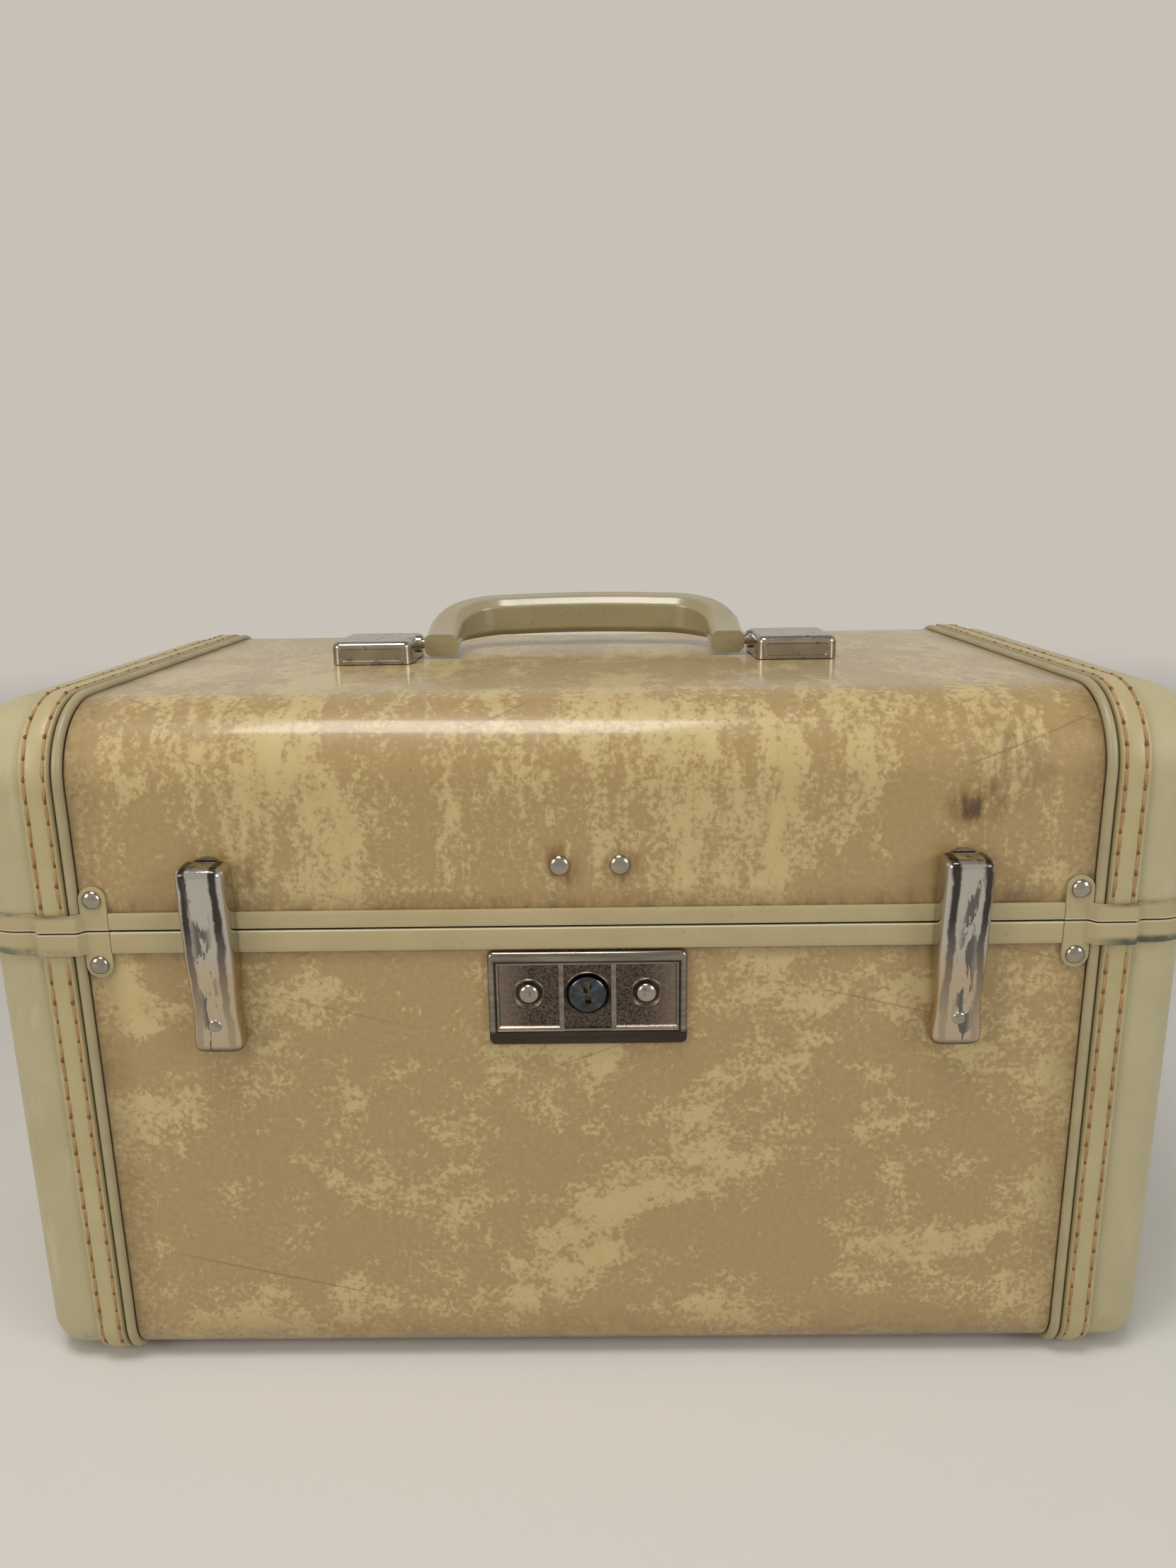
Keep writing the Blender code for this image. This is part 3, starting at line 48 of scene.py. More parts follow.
# The room: a pale floor that curves up into a round wall, far from the case. Neither is part of it.
# Both are matt, so the case keeps a soft shadow and its plating reflects a calm pale room.
def linear(code):
    """The linear colour of an sRGB hex code."""
    parts = [int(code[start:start + 2], 16) / 255 for start in (0, 2, 4)]
    return (*[part / 12.92 if part <= 0.04045 else ((part + 0.055) / 1.055) ** 2.4 for part in parts], 1.0)


def feed(tree, node, inputs):
    """Fill a node's inputs with values or sockets, or with nodes, which give their first live output."""
    for socket, value in inputs.items():
        if isinstance(value, bpy.types.Node):
            value = next(output for output in value.outputs if output.enabled)
        if isinstance(value, bpy.types.NodeSocket):
            tree.links.new(value, node.inputs[socket])
        else:
            node.inputs[socket].default_value = value


def add(tree, kind, inputs=None, **settings):
    """Add one node with its settings and inputs; a kind without the word Node is a shader node."""
    made = tree.nodes.new(kind if "Node" in kind else "ShaderNode" + kind)
    for name, value in settings.items():
        setattr(made, name, value)
    feed(tree, made, inputs or {})
    return made


def new_finish(name):
    """A material with its node tree, its Principled shader and the piece's own coordinates."""
    finish = bpy.data.materials.new(name)
    finish.use_nodes = True
    tree = finish.node_tree
    return finish, tree, tree.nodes["Principled BSDF"], add(tree, "TexCoord").outputs["Object"]


def link_mesh(name, shape, finish=None):
    """A new object from a bmesh, in the scene, with its finish."""
    mesh = bpy.data.meshes.new(name)
    shape.to_mesh(mesh)
    shape.free()
    piece = bpy.data.objects.new(name, mesh)
    scene.collection.objects.link(piece)
    if finish:
        mesh.materials.append(finish)
    return piece


room_paint, tree, shader, place = new_finish("matt_room_paint")
feed(tree, shader, {"Base Color": linear("D9D7D3"), "Roughness": 0.85})
# Far from the case the paint shows pale to the camera and in reflections, and the floor keeps its shadow.
ray = add(tree, "LightPath").outputs
seen = add(tree, "Math", {0: ray["Is Camera Ray"], 1: ray["Is Glossy Ray"]}, operation="ADD")
seen = add(tree, "Math", {0: seen, 1: ray["Is Transmission Ray"]}, operation="ADD", use_clamp=True)
reach = add(tree, "VectorMath", {0: place}, operation="LENGTH")
far = add(
    tree,
    "MapRange",
    {"Value": reach, "From Min": 0.7, "From Max": 2.1, "To Max": 0.95},
    interpolation_type="SMOOTHSTEP",
)
share = add(tree, "Math", {0: seen, 1: far}, operation="MULTIPLY")
glow = add(tree, "Emission", {"Color": linear("CAC4BB"), "Strength": 1.0})
mixed = add(tree, "MixShader", {0: share, 1: shader, 2: glow})
feed(tree, tree.nodes["Material Output"], {"Surface": mixed})
ROOM_FLAT = 2.0
ROOM_CURVE = 0.7
ROOM_TOP = 3.2
ROOM_STEPS = 64
room_line = [(0.35, 0.0), (1.1, 0.0), (ROOM_FLAT, 0.0)]
for degrees in range(9, 91, 9):
    turn = math.radians(degrees)
    room_line.append((ROOM_FLAT + ROOM_CURVE * math.sin(turn), ROOM_CURVE * (1 - math.cos(turn))))
room_line.append((ROOM_FLAT + ROOM_CURVE, ROOM_TOP))
room_shape = bmesh.new()
middle = room_shape.verts.new((0, 0, 0))
turns = [math.tau * step / ROOM_STEPS for step in range(ROOM_STEPS)]
rings = [
    [room_shape.verts.new((reach * math.cos(turn), reach * math.sin(turn), z)) for turn in turns]
    for reach, z in room_line
]
for step in range(ROOM_STEPS):
    after = (step + 1) % ROOM_STEPS
    room_shape.faces.new((middle, rings[0][step], rings[0][after]))
    for lower, upper in zip(rings, rings[1:]):
        room_shape.faces.new((lower[step], upper[step], upper[after], lower[after]))
room = link_mesh("room_sweep", room_shape, room_paint)
room.data.shade_smooth()

# The camera stands where the photograph was taken from, close and a little above the lid. Its lens,
# place and turn come from points measured in the photograph.
camera_data = bpy.data.cameras.new("photo_camera")
camera_data.lens = 24.95
camera_data.sensor_width = 36.0
camera_data.clip_start = 0.01
camera = bpy.data.objects.new("photo_camera", camera_data)
camera.rotation_mode = "QUATERNION"
turn = (
    Matrix.Rotation(math.radians(0.64), 4, "Z")
    @ Matrix.Rotation(math.radians(76.034), 4, "X")
    @ Matrix.Rotation(math.radians(-0.891), 4, "Z")
)
camera.location = (5.09 * MM, -404.66 * MM, 273.11 * MM)
camera.rotation_quaternion = turn.to_quaternion()
scene.collection.objects.link(camera)
scene.camera = camera

# Three soft lamps: one overhead and in front, and one from each side like windows. The air around them
# fills the shadows with an even pale grey.
for name, spot, aim, size, power, code in (
    ("lamp_overhead", (-0.15, -0.4, 1.2), (0, 0, 0.1), (0.55, 0.35), 6.2, "FFFBF6"),
    ("lamp_window", (1.2, -0.9, 0.7), (0, 0, 0.15), (0.6, 0.6), 7.0, "FFFFFF"),
    ("lamp_left", (-1.2, -0.9, 0.7), (0, 0, 0.12), (0.6, 0.6), 7.0, "FFF6EA"),
):
    lamp_data = bpy.data.lights.new(name, "AREA")
    lamp_data.shape = "RECTANGLE"
    lamp_data.size, lamp_data.size_y = size
    lamp_data.energy = power
    lamp_data.color = linear(code)[:3]
    lamp = bpy.data.objects.new(name, lamp_data)
    lamp.location = spot
    lamp.rotation_mode = "QUATERNION"
    lamp.rotation_quaternion = (Vector(aim) - Vector(spot)).to_track_quat("-Z", "Y")
    scene.collection.objects.link(lamp)
air = bpy.data.worlds.new("soft_air")
air.use_nodes = True
feed(air.node_tree, air.node_tree.nodes["Background"], {"Color": linear("C8C8C6"), "Strength": 0.58})
scene.world = air

# The wooden box, in two trays of bent plywood with glued corners, bare where it shows at the rims.
# It hardly shows; its grain runs along the case.
plywood, tree, shader, place = new_finish("birch_plywood_bent")
grain = add(tree, "Mapping", {"Vector": place, "Scale": (8.0, 160.0, 160.0)})
streak = add(tree, "TexNoise", {"Vector": grain, "Scale": 1.0, "Detail": 4.0})
colour = add(tree, "Mix", {0: streak, 6: linear("A5825A"), 7: linear("C9A777")}, data_type="RGBA")
bump = add(tree, "Bump", {"Height": streak, "Strength": 0.4, "Distance": 0.1 * MM})
feed(tree, shader, {"Base Color": colour, "Normal": bump, "Roughness": 0.75})


def dress(finish, *names):
    """Give CAD nodes a finish."""
    for name in names:
        mesh = nodes[name].data
        mesh.materials.clear()
        mesh.materials.append(finish)


dress(plywood, "base_box", "lid_box")

# The cloth cover: woven cotton with a tan cellulose coat, glued round the front, top, back and bottom
# of each half. Years of handling have crazed the coat to ragged cream-yellow blotches with speckled
# edges, with brown grime along the seams and rust round the studs.
CLOTH_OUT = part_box("base_cover")[1].y
CASE_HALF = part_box("base_end_cover_right")[1].x
CASE_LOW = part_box("base_cover")[0].z
CASE_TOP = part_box("lid_cover")[1].z
CASE_MIDDLE = (CASE_TOP + CASE_LOW) / 2
BASE_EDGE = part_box("base_cover")[1].z
LID_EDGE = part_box("lid_cover")[0].z
SPLIT = (BASE_EDGE + LID_EDGE) / 2
TOP_ROUND = 24.0 * MM
FOOT_ROUND = 12.6 * MM
END_ROUND = 12.0 * MM
HAIR = 0.01 * MM


def round_off(shape, picked, width, steps):
    """Round the edges whose two ends pass a test."""
    edges = [edge for edge in shape.edges if picked(edge.verts[0].co, edge.verts[1].co)]
    bmesh.ops.bevel(shape, geom=edges, offset=width, segments=steps, profile=0.5, affect="EDGES")


def case_form(grow, steps=12):
    """The closed rounded form of the whole case, moved outwards by grow."""
    size = Vector((2 * (CASE_HALF + grow), 2 * (CLOTH_OUT + grow), CASE_TOP - CASE_LOW + 2 * grow))
    form = bmesh.new()
    bmesh.ops.create_cube(form, size=1.0)
    bmesh.ops.scale(form, vec=size, verts=form.verts)
    bmesh.ops.translate(form, vec=(0, 0, CASE_MIDDLE), verts=form.verts)
    for high, radius in ((True, TOP_ROUND), (False, FOOT_ROUND)):
        round_off(
            form,
            lambda one, two: abs(one.x - two.x) > size.x - HAIR and (one.z > CASE_MIDDLE) == high,
            radius + grow,
            steps,
        )
    round_off(
        form,
        lambda one, two: abs(one.x - two.x) < HAIR and abs(abs(one.x) - size.x / 2) < HAIR,
        END_ROUND + grow,
        8,
    )
    return form


def cut(shape, point, normal, **sides):
    """Cut a surface through with a plane; sides may say which part goes."""
    geometry = shape.verts[:] + shape.edges[:] + shape.faces[:]
    bmesh.ops.bisect_plane(shape, geom=geometry, dist=1e-6, plane_co=point, plane_no=normal, **sides)


def keep(shape, axis, place, sign):
    """Cut a surface with a plane across one axis and keep one side."""
    normal = Vector((0, 0, 0))
    normal[axis] = sign
    cut(shape, normal * sign * place, normal, clear_outer=True)


def give_wall(piece, thick, even=True):
    """Give a surface its thickness, inwards."""
    wall = piece.modifiers.new("wall", "SOLIDIFY")
    wall.thickness = thick
    wall.offset = -1.0
    wall.use_even_offset = even


def skin(name, grow, thick, x_limits, z_limits, finish):
    """A patch of the form between planes, given its thickness inwards, with even shading."""
    shape = case_form(grow)
    for axis, (low, high) in ((0, x_limits), (2, z_limits)):
        if low is not None:
            keep(shape, axis, low, -1)
        if high is not None:
            keep(shape, axis, high, 1)
    piece = link_mesh(name, shape, finish)
    piece.data.shade_smooth()
    give_wall(piece, thick)
    return piece


def soften(piece, width, segments=2, angle=40):
    """Round the sharp edges a little and shade the flats evenly."""
    edge = piece.modifiers.new("edge", "BEVEL")
    edge.width = width
    edge.segments = segments
    edge.limit_method = "ANGLE"
    edge.angle_limit = math.radians(angle)
    edge.harden_normals = False
    even = piece.modifiers.new("even", "WEIGHTED_NORMAL")
    even.keep_sharp = True
    even.weight = 100


def lay(tree, colour, pattern, start, full, most, code):
    """Lay a tone over a colour where a pattern goes from start to full, at most so strong."""
    share = add(tree, "MapRange", {"Value": pattern, "From Min": start, "From Max": full, "To Max": most})
    return add(tree, "Mix", {0: share, 6: colour, 7: linear(code)}, data_type="RGBA")


def off_by(tree, value, middle):
    """How far a value lies from a middle, up or down."""
    gap = add(tree, "Math", {0: value, 1: middle}, operation="SUBTRACT")
    return add(tree, "Math", {0: gap}, operation="ABSOLUTE")


# Stains on the front in mm as (x, z, reach, depth, colour): rust at the two studs, a burn with its scorch,
# rust at the latches, and verdigris at two ears.
RUST = "785320"
VERDIGRIS = "4C5636"
HALOS = (
    (-7.1, 172.0, 9.0, 1.0, RUST),
    (10.7, 172.0, 9.0, 1.0, RUST),
    (113.5, 189.5, 11.0, 0.8, RUST),
    (113.0, 189.0, 6.0, 1.0, "46300F"),
    (124.0, 201.0, 17.0, 0.5, "665036"),
    (-101.0, 173.0, 10.0, 0.6, RUST),
    (116.0, 169.0, 11.0, 0.7, RUST),
    (127.0, 160.0, 9.0, 0.8, "5C421C"),
    (148.0, 164.0, 9.0, 1.0, VERDIGRIS),
    (-148.0, 143.0, 9.0, 0.9, VERDIGRIS),
)


def cloth_finish(name, stretch, tilt, seed):
    """The worn coated cloth; stretch and tilt set the run of the blotches on one half."""
    finish, tree, shader, place = new_finish(name)
    run = add(
        tree,
        "Mapping",
        {"Vector": place, "Location": seed, "Rotation": (0, math.radians(tilt), 0), "Scale": stretch},
    )
    # Blotches 20 to 50 mm long, ragged at 8 mm, with a fringe of 2 mm specks round each.
    blotch, ragged, speckle, cloud = [
        add(
            tree,
            "TexNoise",
            {"Vector": spots, "Scale": scale, "Detail": detail, "Roughness": rough, "Distortion": bent},
        )
        for spots, scale, detail, rough, bent in (
            (run, 26.0, 2.0, 0.5, 0.5),
            (run, 125.0, 4.0, 0.65, 0.2),
            (place, 540.0, 4.0, 0.65, 0.0),
            (run, 9.0, 5.0, 0.55, 0.0),
        )
    ]
    worn = blotch
    for pattern, share in ((cloud, 0.9), (ragged, 0.9), (speckle, 0.95)):
        rough_edge = worn
        worn = add(tree, "Math", {0: pattern, 1: share, 2: worn}, operation="MULTIPLY_ADD")
    patch = add(
        tree, "MapRange", {"Value": worn, "From Min": 1.82, "From Max": 2.04}, interpolation_type="SMOOTHSTEP"
    )
    tan = add(tree, "Mix", {0: speckle, 6: linear("967C4E"), 7: linear("B49B6A")}, data_type="RGBA")
    cream = add(tree, "Mix", {0: ragged, 6: linear("B6A16C"), 7: linear("C9B582")}, data_type="RGBA")
    colour = add(tree, "Mix", {0: patch, 6: tan, 7: cream}, data_type="RGBA")
    # Grime gathers within 10 mm of the split and the piping, and along the bottom edge.
    apart = add(tree, "SeparateXYZ", {0: place}).outputs
    across = add(tree, "Math", {0: apart["X"]}, operation="ABSOLUTE")
    from_split = off_by(tree, apart["Z"], SPLIT)
    at_split, at_end, at_foot = [
        add(tree, "MapRange", {"Value": gap, "From Min": clean * MM, "From Max": foul * MM})
        for gap, clean, foul in ((from_split, 12, 6), (across, 139, 151), (apart["Z"], 22, 3))
    ]
    edges = add(tree, "Math", {0: at_split, 1: at_end}, operation="MAXIMUM")
    edges = add(tree, "Math", {0: edges, 1: at_foot}, operation="MAXIMUM")
    breakup = add(tree, "MapRange", {"Value": ragged, "From Min": 0.32, "From Max": 0.62, "To Max": 0.8})
    grime = add(tree, "Math", {0: edges, 1: breakup}, operation="MULTIPLY")
    colour = add(tree, "Mix", {0: grime, 6: colour, 7: linear("70552E")}, data_type="RGBA")
    # Each stain frays with the ragged noise, and takes less on the blotches.
    take = add(
        tree,
        "MapRange",
        {"Value": rough_edge, "From Min": 1.25, "From Max": 1.6, "To Min": 0.9, "To Max": 0.15},
    )
    for x, z, reach, depth, code in HALOS:
        gap = add(tree, "VectorMath", {0: place, 1: (x * MM, -CLOTH_OUT, z * MM)}, operation="DISTANCE")
        frayed = add(tree, "Math", {0: ragged, 1: reach * 1.6 * MM, 2: gap}, operation="MULTIPLY_ADD")
        ring = add(
            tree,
            "MapRange",
            {"Value": frayed, "From Min": reach * 1.7 * MM, "From Max": reach * 0.9 * MM, "To Max": depth},
            interpolation_type="SMOOTHSTEP",
        )
        spread = add(tree, "Math", {0: ring, 1: take}, operation="MULTIPLY", use_clamp=True)
        colour = add(tree, "Mix", {0: spread, 6: colour, 7: linear(code)}, data_type="RGBA")
    # Long fine scratches: noise drawn out 60 to 1, thresholded to thin brown lines.
    for lean, size, level in ((-14.0, 5.0, 0.735), (20.0, 7.0, 0.745)):
        turned = add(tree, "Mapping", {"Vector": place, "Rotation": (0, math.radians(lean), 0)})
        drawn = add(tree, "Mapping", {"Vector": turned, "Scale": (size, 40.0, size * 90)})
        line = add(tree, "TexNoise", {"Vector": drawn, "Scale": 1.0, "Detail": 1.0})
        colour = lay(tree, colour, line, level, level + 0.03, 0.38, "6E5430")
    # Small dark specks, under 1 mm, thinly scattered.
    nick = add(tree, "TexNoise", {"Vector": place, "Scale": 760.0, "Detail": 1.0})
    colour = lay(tree, colour, nick, 0.79, 0.83, 0.6, "5A4020")
    gloss = add(
        tree,
        "MapRange",
        {"Value": ragged, "From Min": 0.3, "From Max": 0.7, "To Min": 0.3, "To Max": 0.48},
    )
    # The weave is 0.9 mm, a little coarser than the real thread so that it shows.
    warp, weft = [
        add(tree, "TexWave", {"Vector": place, "Scale": 350.0, "Distortion": 0.6}, bands_direction=way)
        for way in ("X", "Z")
    ]
    weave = add(tree, "Math", {0: warp.outputs["Fac"], 1: weft.outputs["Fac"]}, operation="MULTIPLY")
    relief = add(tree, "Math", {0: weave, 1: 0.35, 2: speckle}, operation="MULTIPLY_ADD")
    fine = add(tree, "Bump", {"Height": relief, "Strength": 0.35, "Distance": 0.06 * MM})
    board = add(tree, "Bump", {"Height": cloud, "Strength": 0.5, "Distance": 1.2 * MM, "Normal": fine})
    feed(tree, shader, {"Base Color": colour, "Normal": board, "Roughness": gloss})
    feed(tree, shader, {"Coat Weight": 0.5, "Coat Roughness": 0.13})
    return finish


COVER_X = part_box("base_cover")[1].x
base_cloth = cloth_finish("coated_cloth_base", (1.0, 1.0, 1.25), 32.0, (0.31, 0.0, 0.12))
lid_cloth = cloth_finish("coated_cloth_lid", (1.6, 0.8, 0.62), 12.0, (0.07, 0.4, 0.55))
for body, finish, z_limits in (
    ("base", base_cloth, (None, BASE_EDGE)),
    ("lid", lid_cloth, (LID_EDGE, None)),
):
    cover = skin(body + "_cloth_cover", 0.0, 1.2 * MM, (-COVER_X, COVER_X), z_limits, finish)
    soften(cover, 0.2 * MM)
    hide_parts(body + "_cover")
    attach(cover, body)

# The end covers: imitation leather drawn over each end of both halves, pale green-beige and satin.
# Its corners are rubbed to a darker yellow, with thin scuffs and a few dark nicks.
leatherette, tree, shader, place = new_finish("coated_leatherette")
cloud = add(tree, "TexNoise", {"Vector": place, "Scale": 22.0, "Detail": 4.0, "Roughness": 0.6})
fleck = add(tree, "TexNoise", {"Vector": place, "Scale": 300.0, "Detail": 3.0, "Roughness": 0.7})
colour = add(tree, "Mix", {0: cloud, 6: linear("A59C76"), 7: linear("C0B793")}, data_type="RGBA")
colour = lay(tree, colour, fleck, 0.62, 0.75, 0.35, "8B7E52")
# The film is scuffed brown along the foot and where the ends turn the corner, in patches 15 mm across.
apart = add(tree, "SeparateXYZ", {0: place}).outputs
foot = add(tree, "MapRange", {"Value": apart["Z"], "From Min": 20 * MM, "From Max": 1 * MM})
patch = add(tree, "TexNoise", {"Vector": place, "Scale": 66.0, "Detail": 6.0, "Roughness": 0.7})
patch = add(tree, "MapRange", {"Value": patch, "From Min": 0.5, "From Max": 0.66, "To Max": 0.75})
scuff = add(tree, "Math", {0: foot, 1: patch}, operation="MULTIPLY")
colour = add(tree, "Mix", {0: scuff, 6: colour, 7: linear("6E5B3A")}, data_type="RGBA")
# Rubbed streaks, three times as tall as wide, show a paler film.
streak = add(tree, "Mapping", {"Vector": place, "Scale": (110.0, 110.0, 34.0)})
streak = add(tree, "TexNoise", {"Vector": streak, "Scale": 1.0, "Detail": 5.0, "Roughness": 0.6})
colour = lay(tree, colour, streak, 0.56, 0.7, 0.35, "CFC8A8")
# The grain of the pressed film is 0.8 mm across.
grain = add(tree, "TexVoronoi", {"Vector": place, "Scale": 1250.0})
fine = add(tree, "Bump", {"Height": grain.outputs["Distance"], "Strength": 0.25, "Distance": 0.05 * MM})
wave = add(tree, "Bump", {"Height": cloud, "Strength": 0.5, "Distance": 0.8 * MM, "Normal": fine})
feed(tree, shader, {"Base Color": colour, "Normal": wave, "Roughness": 0.42})
BINDING_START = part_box("base_binding_right")[0].x
BINDING_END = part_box("base_binding_right")[1].x
SIDES = (("left", -1), ("right", 1))
HALVES = (("base", (None, BASE_EDGE)), ("lid", (LID_EDGE, None)))
for body, z_limits in HALVES:
    for name, side in SIDES:
        x_limits = (BINDING_START, None) if side > 0 else (None, -BINDING_START)
        end_cover = skin(f"{body}_end_skin_{name}", 0.0, 1.2 * MM, x_limits, z_limits, leatherette)
        soften(end_cover, 0.2 * MM)
        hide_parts(f"{body}_end_cover_{name}")
        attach(end_cover, body)

# The bindings: a folded band of the same leatherette over each seam, padded between two rows of
# stitches, with a rolled piping along its inner edge. A painted shade darkens the fold beside the piping.
binding_hide, tree, shader, place = new_finish("binding_leatherette")
cloud = add(tree, "TexNoise", {"Vector": place, "Scale": 45.0, "Detail": 5.0, "Roughness": 0.65})
colour = add(tree, "Mix", {0: cloud, 6: linear("A5986C"), 7: linear("C1B58B")}, data_type="RGBA")
apart = add(tree, "SeparateXYZ", {0: place}).outputs
across = add(tree, "Math", {0: apart["X"]}, operation="ABSOLUTE")
# Painted shade: the band is darkened within about 1 mm of its inner edge, in the fold beside the piping.
colour = lay(tree, colour, across, 155.0 * MM, 153.9 * MM, 0.7, "6E5E38")
bump = add(tree, "Bump", {"Height": cloud, "Strength": 0.5, "Distance": 0.5 * MM})
feed(tree, shader, {"Base Color": colour, "Normal": bump, "Roughness": 0.4})
piping_hide, tree, shader, place = new_finish("piping_leatherette")
cloud = add(tree, "TexNoise", {"Vector": place, "Scale": 60.0, "Detail": 4.0})
colour = add(tree, "Mix", {0: cloud, 6: linear("928766"), 7: linear("B6AB88")}, data_type="RGBA")
feed(tree, shader, {"Base Color": colour, "Roughness": 0.38})


def around(body, steps=16):
    """Points (y, z) with their outward direction, down the front of a half, across and up the back."""
    if body == "base":
        radius, middle, edge, sweep = FOOT_ROUND, CASE_LOW + FOOT_ROUND, BASE_EDGE, 90
    else:
        radius, middle, edge, sweep = TOP_ROUND, CASE_TOP - TOP_ROUND, LID_EDGE, -90
    inset = CLOTH_OUT - radius
    line = [((-CLOTH_OUT, edge + (middle - edge) * step / 12), (-1, 0)) for step in range(12)]
    for centre, start in ((-inset, 180), (inset, 180 + sweep)):
        for step in range(steps + 1):
            angle = math.radians(start + sweep * step / steps)
            out = (math.cos(angle), math.sin(angle))
            line.append(((centre + radius * out[0], middle + radius * out[1]), out))
    line += [((CLOTH_OUT, middle + (edge - middle) * step / 12), (1, 0)) for step in range(1, 13)]
    return line


def loft(shape, rings):
    """Join closed rows of corners with quads, close both ends and turn the new faces outwards."""
    made = [shape.faces.new(rings[0]), shape.faces.new(list(reversed(rings[-1])))]
    count = len(rings[0])
    for ring, after in zip(rings, rings[1:]):
        for number in range(count):
            step = (number + 1) % count
            made.append(shape.faces.new((ring[number], ring[step], after[step], after[number])))
    bmesh.ops.recalc_face_normals(shape, faces=made)


def band(name, body, side, section, finish):
    """Sweep a closed section of (x, out) points round a half."""
    shape = bmesh.new()
    rings = [
        [shape.verts.new((side * x, y + out_y * out, z + out_z * out)) for x, out in section]
        for (y, z), (out_y, out_z) in around(body)
    ]
    loft(shape, rings)
    piece = link_mesh(name, shape, finish)
    piece.data.shade_smooth()
    piece.data.set_sharp_from_angle(angle=math.radians(50))
    return piece


# The band's section in mm: (x, out). It dips at the stitches, at 155.6 and 161.4 mm.
BAND_SECTION = (
    (153.9, 0.35), (153.9, 1.1), (154.3, 1.7), (154.9, 1.85), (155.6, 1.45), (156.3, 1.9),
    (157.4, 2.0), (158.6, 2.0), (159.8, 1.95), (160.7, 1.8), (161.4, 1.3), (162.0, 1.65),
    (162.7, 1.55), (163.15, 1.1), (163.2, 0.35),
)
PIPING_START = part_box("base_piping_right")[0].x
PIPING_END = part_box("base_piping_right")[1].x
BEAD = (PIPING_END - PIPING_START) / 2
for body, _ in HALVES:
    for name, side in SIDES:
        section = [(x * MM, out * MM) for x, out in BAND_SECTION]
        binding = band(f"{body}_binding_band_{name}", body, side, section, binding_hide)
        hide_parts(f"{body}_binding_{name}")
        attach(binding, body)
        section = [
            (
                PIPING_START + BEAD + BEAD * math.cos(math.tau * step / 12),
                1.9 * MM - BEAD + BEAD * math.sin(math.tau * step / 12),
            )
            for step in range(12)
        ]
        piping = band(f"{body}_piping_bead_{name}", body, side, section, piping_hide)
        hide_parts(f"{body}_piping_{name}")
        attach(piping, body)

# The stitches: a waxed orange-brown linen thread in two rows, about 6.5 mm a stitch, each lying in
# its groove and dipping into the leatherette at both ends.
thread, tree, shader, place = new_finish("waxed_linen_thread")
worn = add(tree, "TexNoise", {"Vector": place, "Scale": 180.0, "Detail": 3.0})
colour = add(tree, "Mix", {0: worn, 6: linear("8A6238"), 7: linear("C49C68")}, data_type="RGBA")
ply = add(tree, "TexWave", {"Vector": place, "Scale": 420.0, "Distortion": 1.0}, bands_direction="DIAGONAL")
bump = add(tree, "Bump", {"Height": ply.outputs["Fac"], "Strength": 0.6, "Distance": 0.1 * MM})
feed(tree, shader, {"Base Color": colour, "Normal": bump, "Roughness": 0.6})
needle_hole, tree, shader, spot = new_finish("grimed_needle_hole")
grime = add(tree, "TexNoise", {"Vector": spot, "Scale": 900.0})
colour = add(tree, "Mix", {0: grime, 6: linear("503B22"), 7: linear("866A44")}, data_type="RGBA")
feed(tree, shader, {"Base Color": colour, "Roughness": 0.8})


def set_input(modifier, name, value):
    """Set a node modifier's input by the name on its socket."""
    for item in modifier.node_group.interface.items_tree:
        if item.item_type == "SOCKET" and item.in_out == "INPUT" and item.name == name:
            modifier[item.identifier] = value


def settle(piece, name):
    """Turn an object with its modifiers into a plain mesh object at the origin."""
    bpy.context.view_layer.update()
    made = bpy.data.meshes.new_from_object(piece.evaluated_get(bpy.context.evaluated_depsgraph_get()))
    result = bpy.data.objects.new(name, made)
    scene.collection.objects.link(result)
    bpy.data.objects.remove(piece, do_unlink=True)
    made.shade_smooth()
    return result


stitching = bpy.data.node_groups.new("stitching", "GeometryNodeTree")
stitching.interface.new_socket("Row", in_out="INPUT", socket_type="NodeSocketGeometry")
for name, kind in (
    ("Pitch", "NodeSocketFloat"),
    ("Length", "NodeSocketFloat"),
    ("Width", "NodeSocketFloat"),
    ("Seed", "NodeSocketInt"),
    ("Thread", "NodeSocketMaterial"),
    ("Hole", "NodeSocketMaterial"),
):
    stitching.interface.new_socket(name, in_out="INPUT", socket_type=kind)
stitching.interface.new_socket("Stitches", in_out="OUTPUT", socket_type="NodeSocketGeometry")
sewn = add(stitching, "NodeGroupInput").outputs
spots = add(
    stitching, "GeometryNodeResampleCurve", {"Curve": sewn["Row"], "Length": sewn["Pitch"]}, mode="LENGTH"
)
run = add(stitching, "GeometryNodeInputTangent")
facing = add(stitching, "FunctionNodeAlignRotationToVector", {"Vector": run}, axis="Z")
sway = add(
    stitching,
    "FunctionNodeRandomValue",
    {0: (-0.07, -0.07, 0.0), 1: (0.07, 0.07, 0.0), "Seed": sewn["Seed"]},
    data_type="FLOAT_VECTOR",
)
leaning = add(
    stitching, "FunctionNodeRotateRotation", {"Rotation": facing, "Rotate By": sway}, rotation_space="LOCAL"
)
bead = add(stitching, "GeometryNodeMeshUVSphere", {"Segments": 8, "Rings": 7, "Radius": 0.5})
size = add(stitching, "CombineXYZ", {"X": sewn["Width"], "Y": sewn["Width"], "Z": sewn["Length"]})
shaped = add(stitching, "GeometryNodeTransform", {"Geometry": bead, "Scale": size})
waxed = add(stitching, "GeometryNodeSetMaterial", {"Geometry": shaped, "Material": sewn["Thread"]})
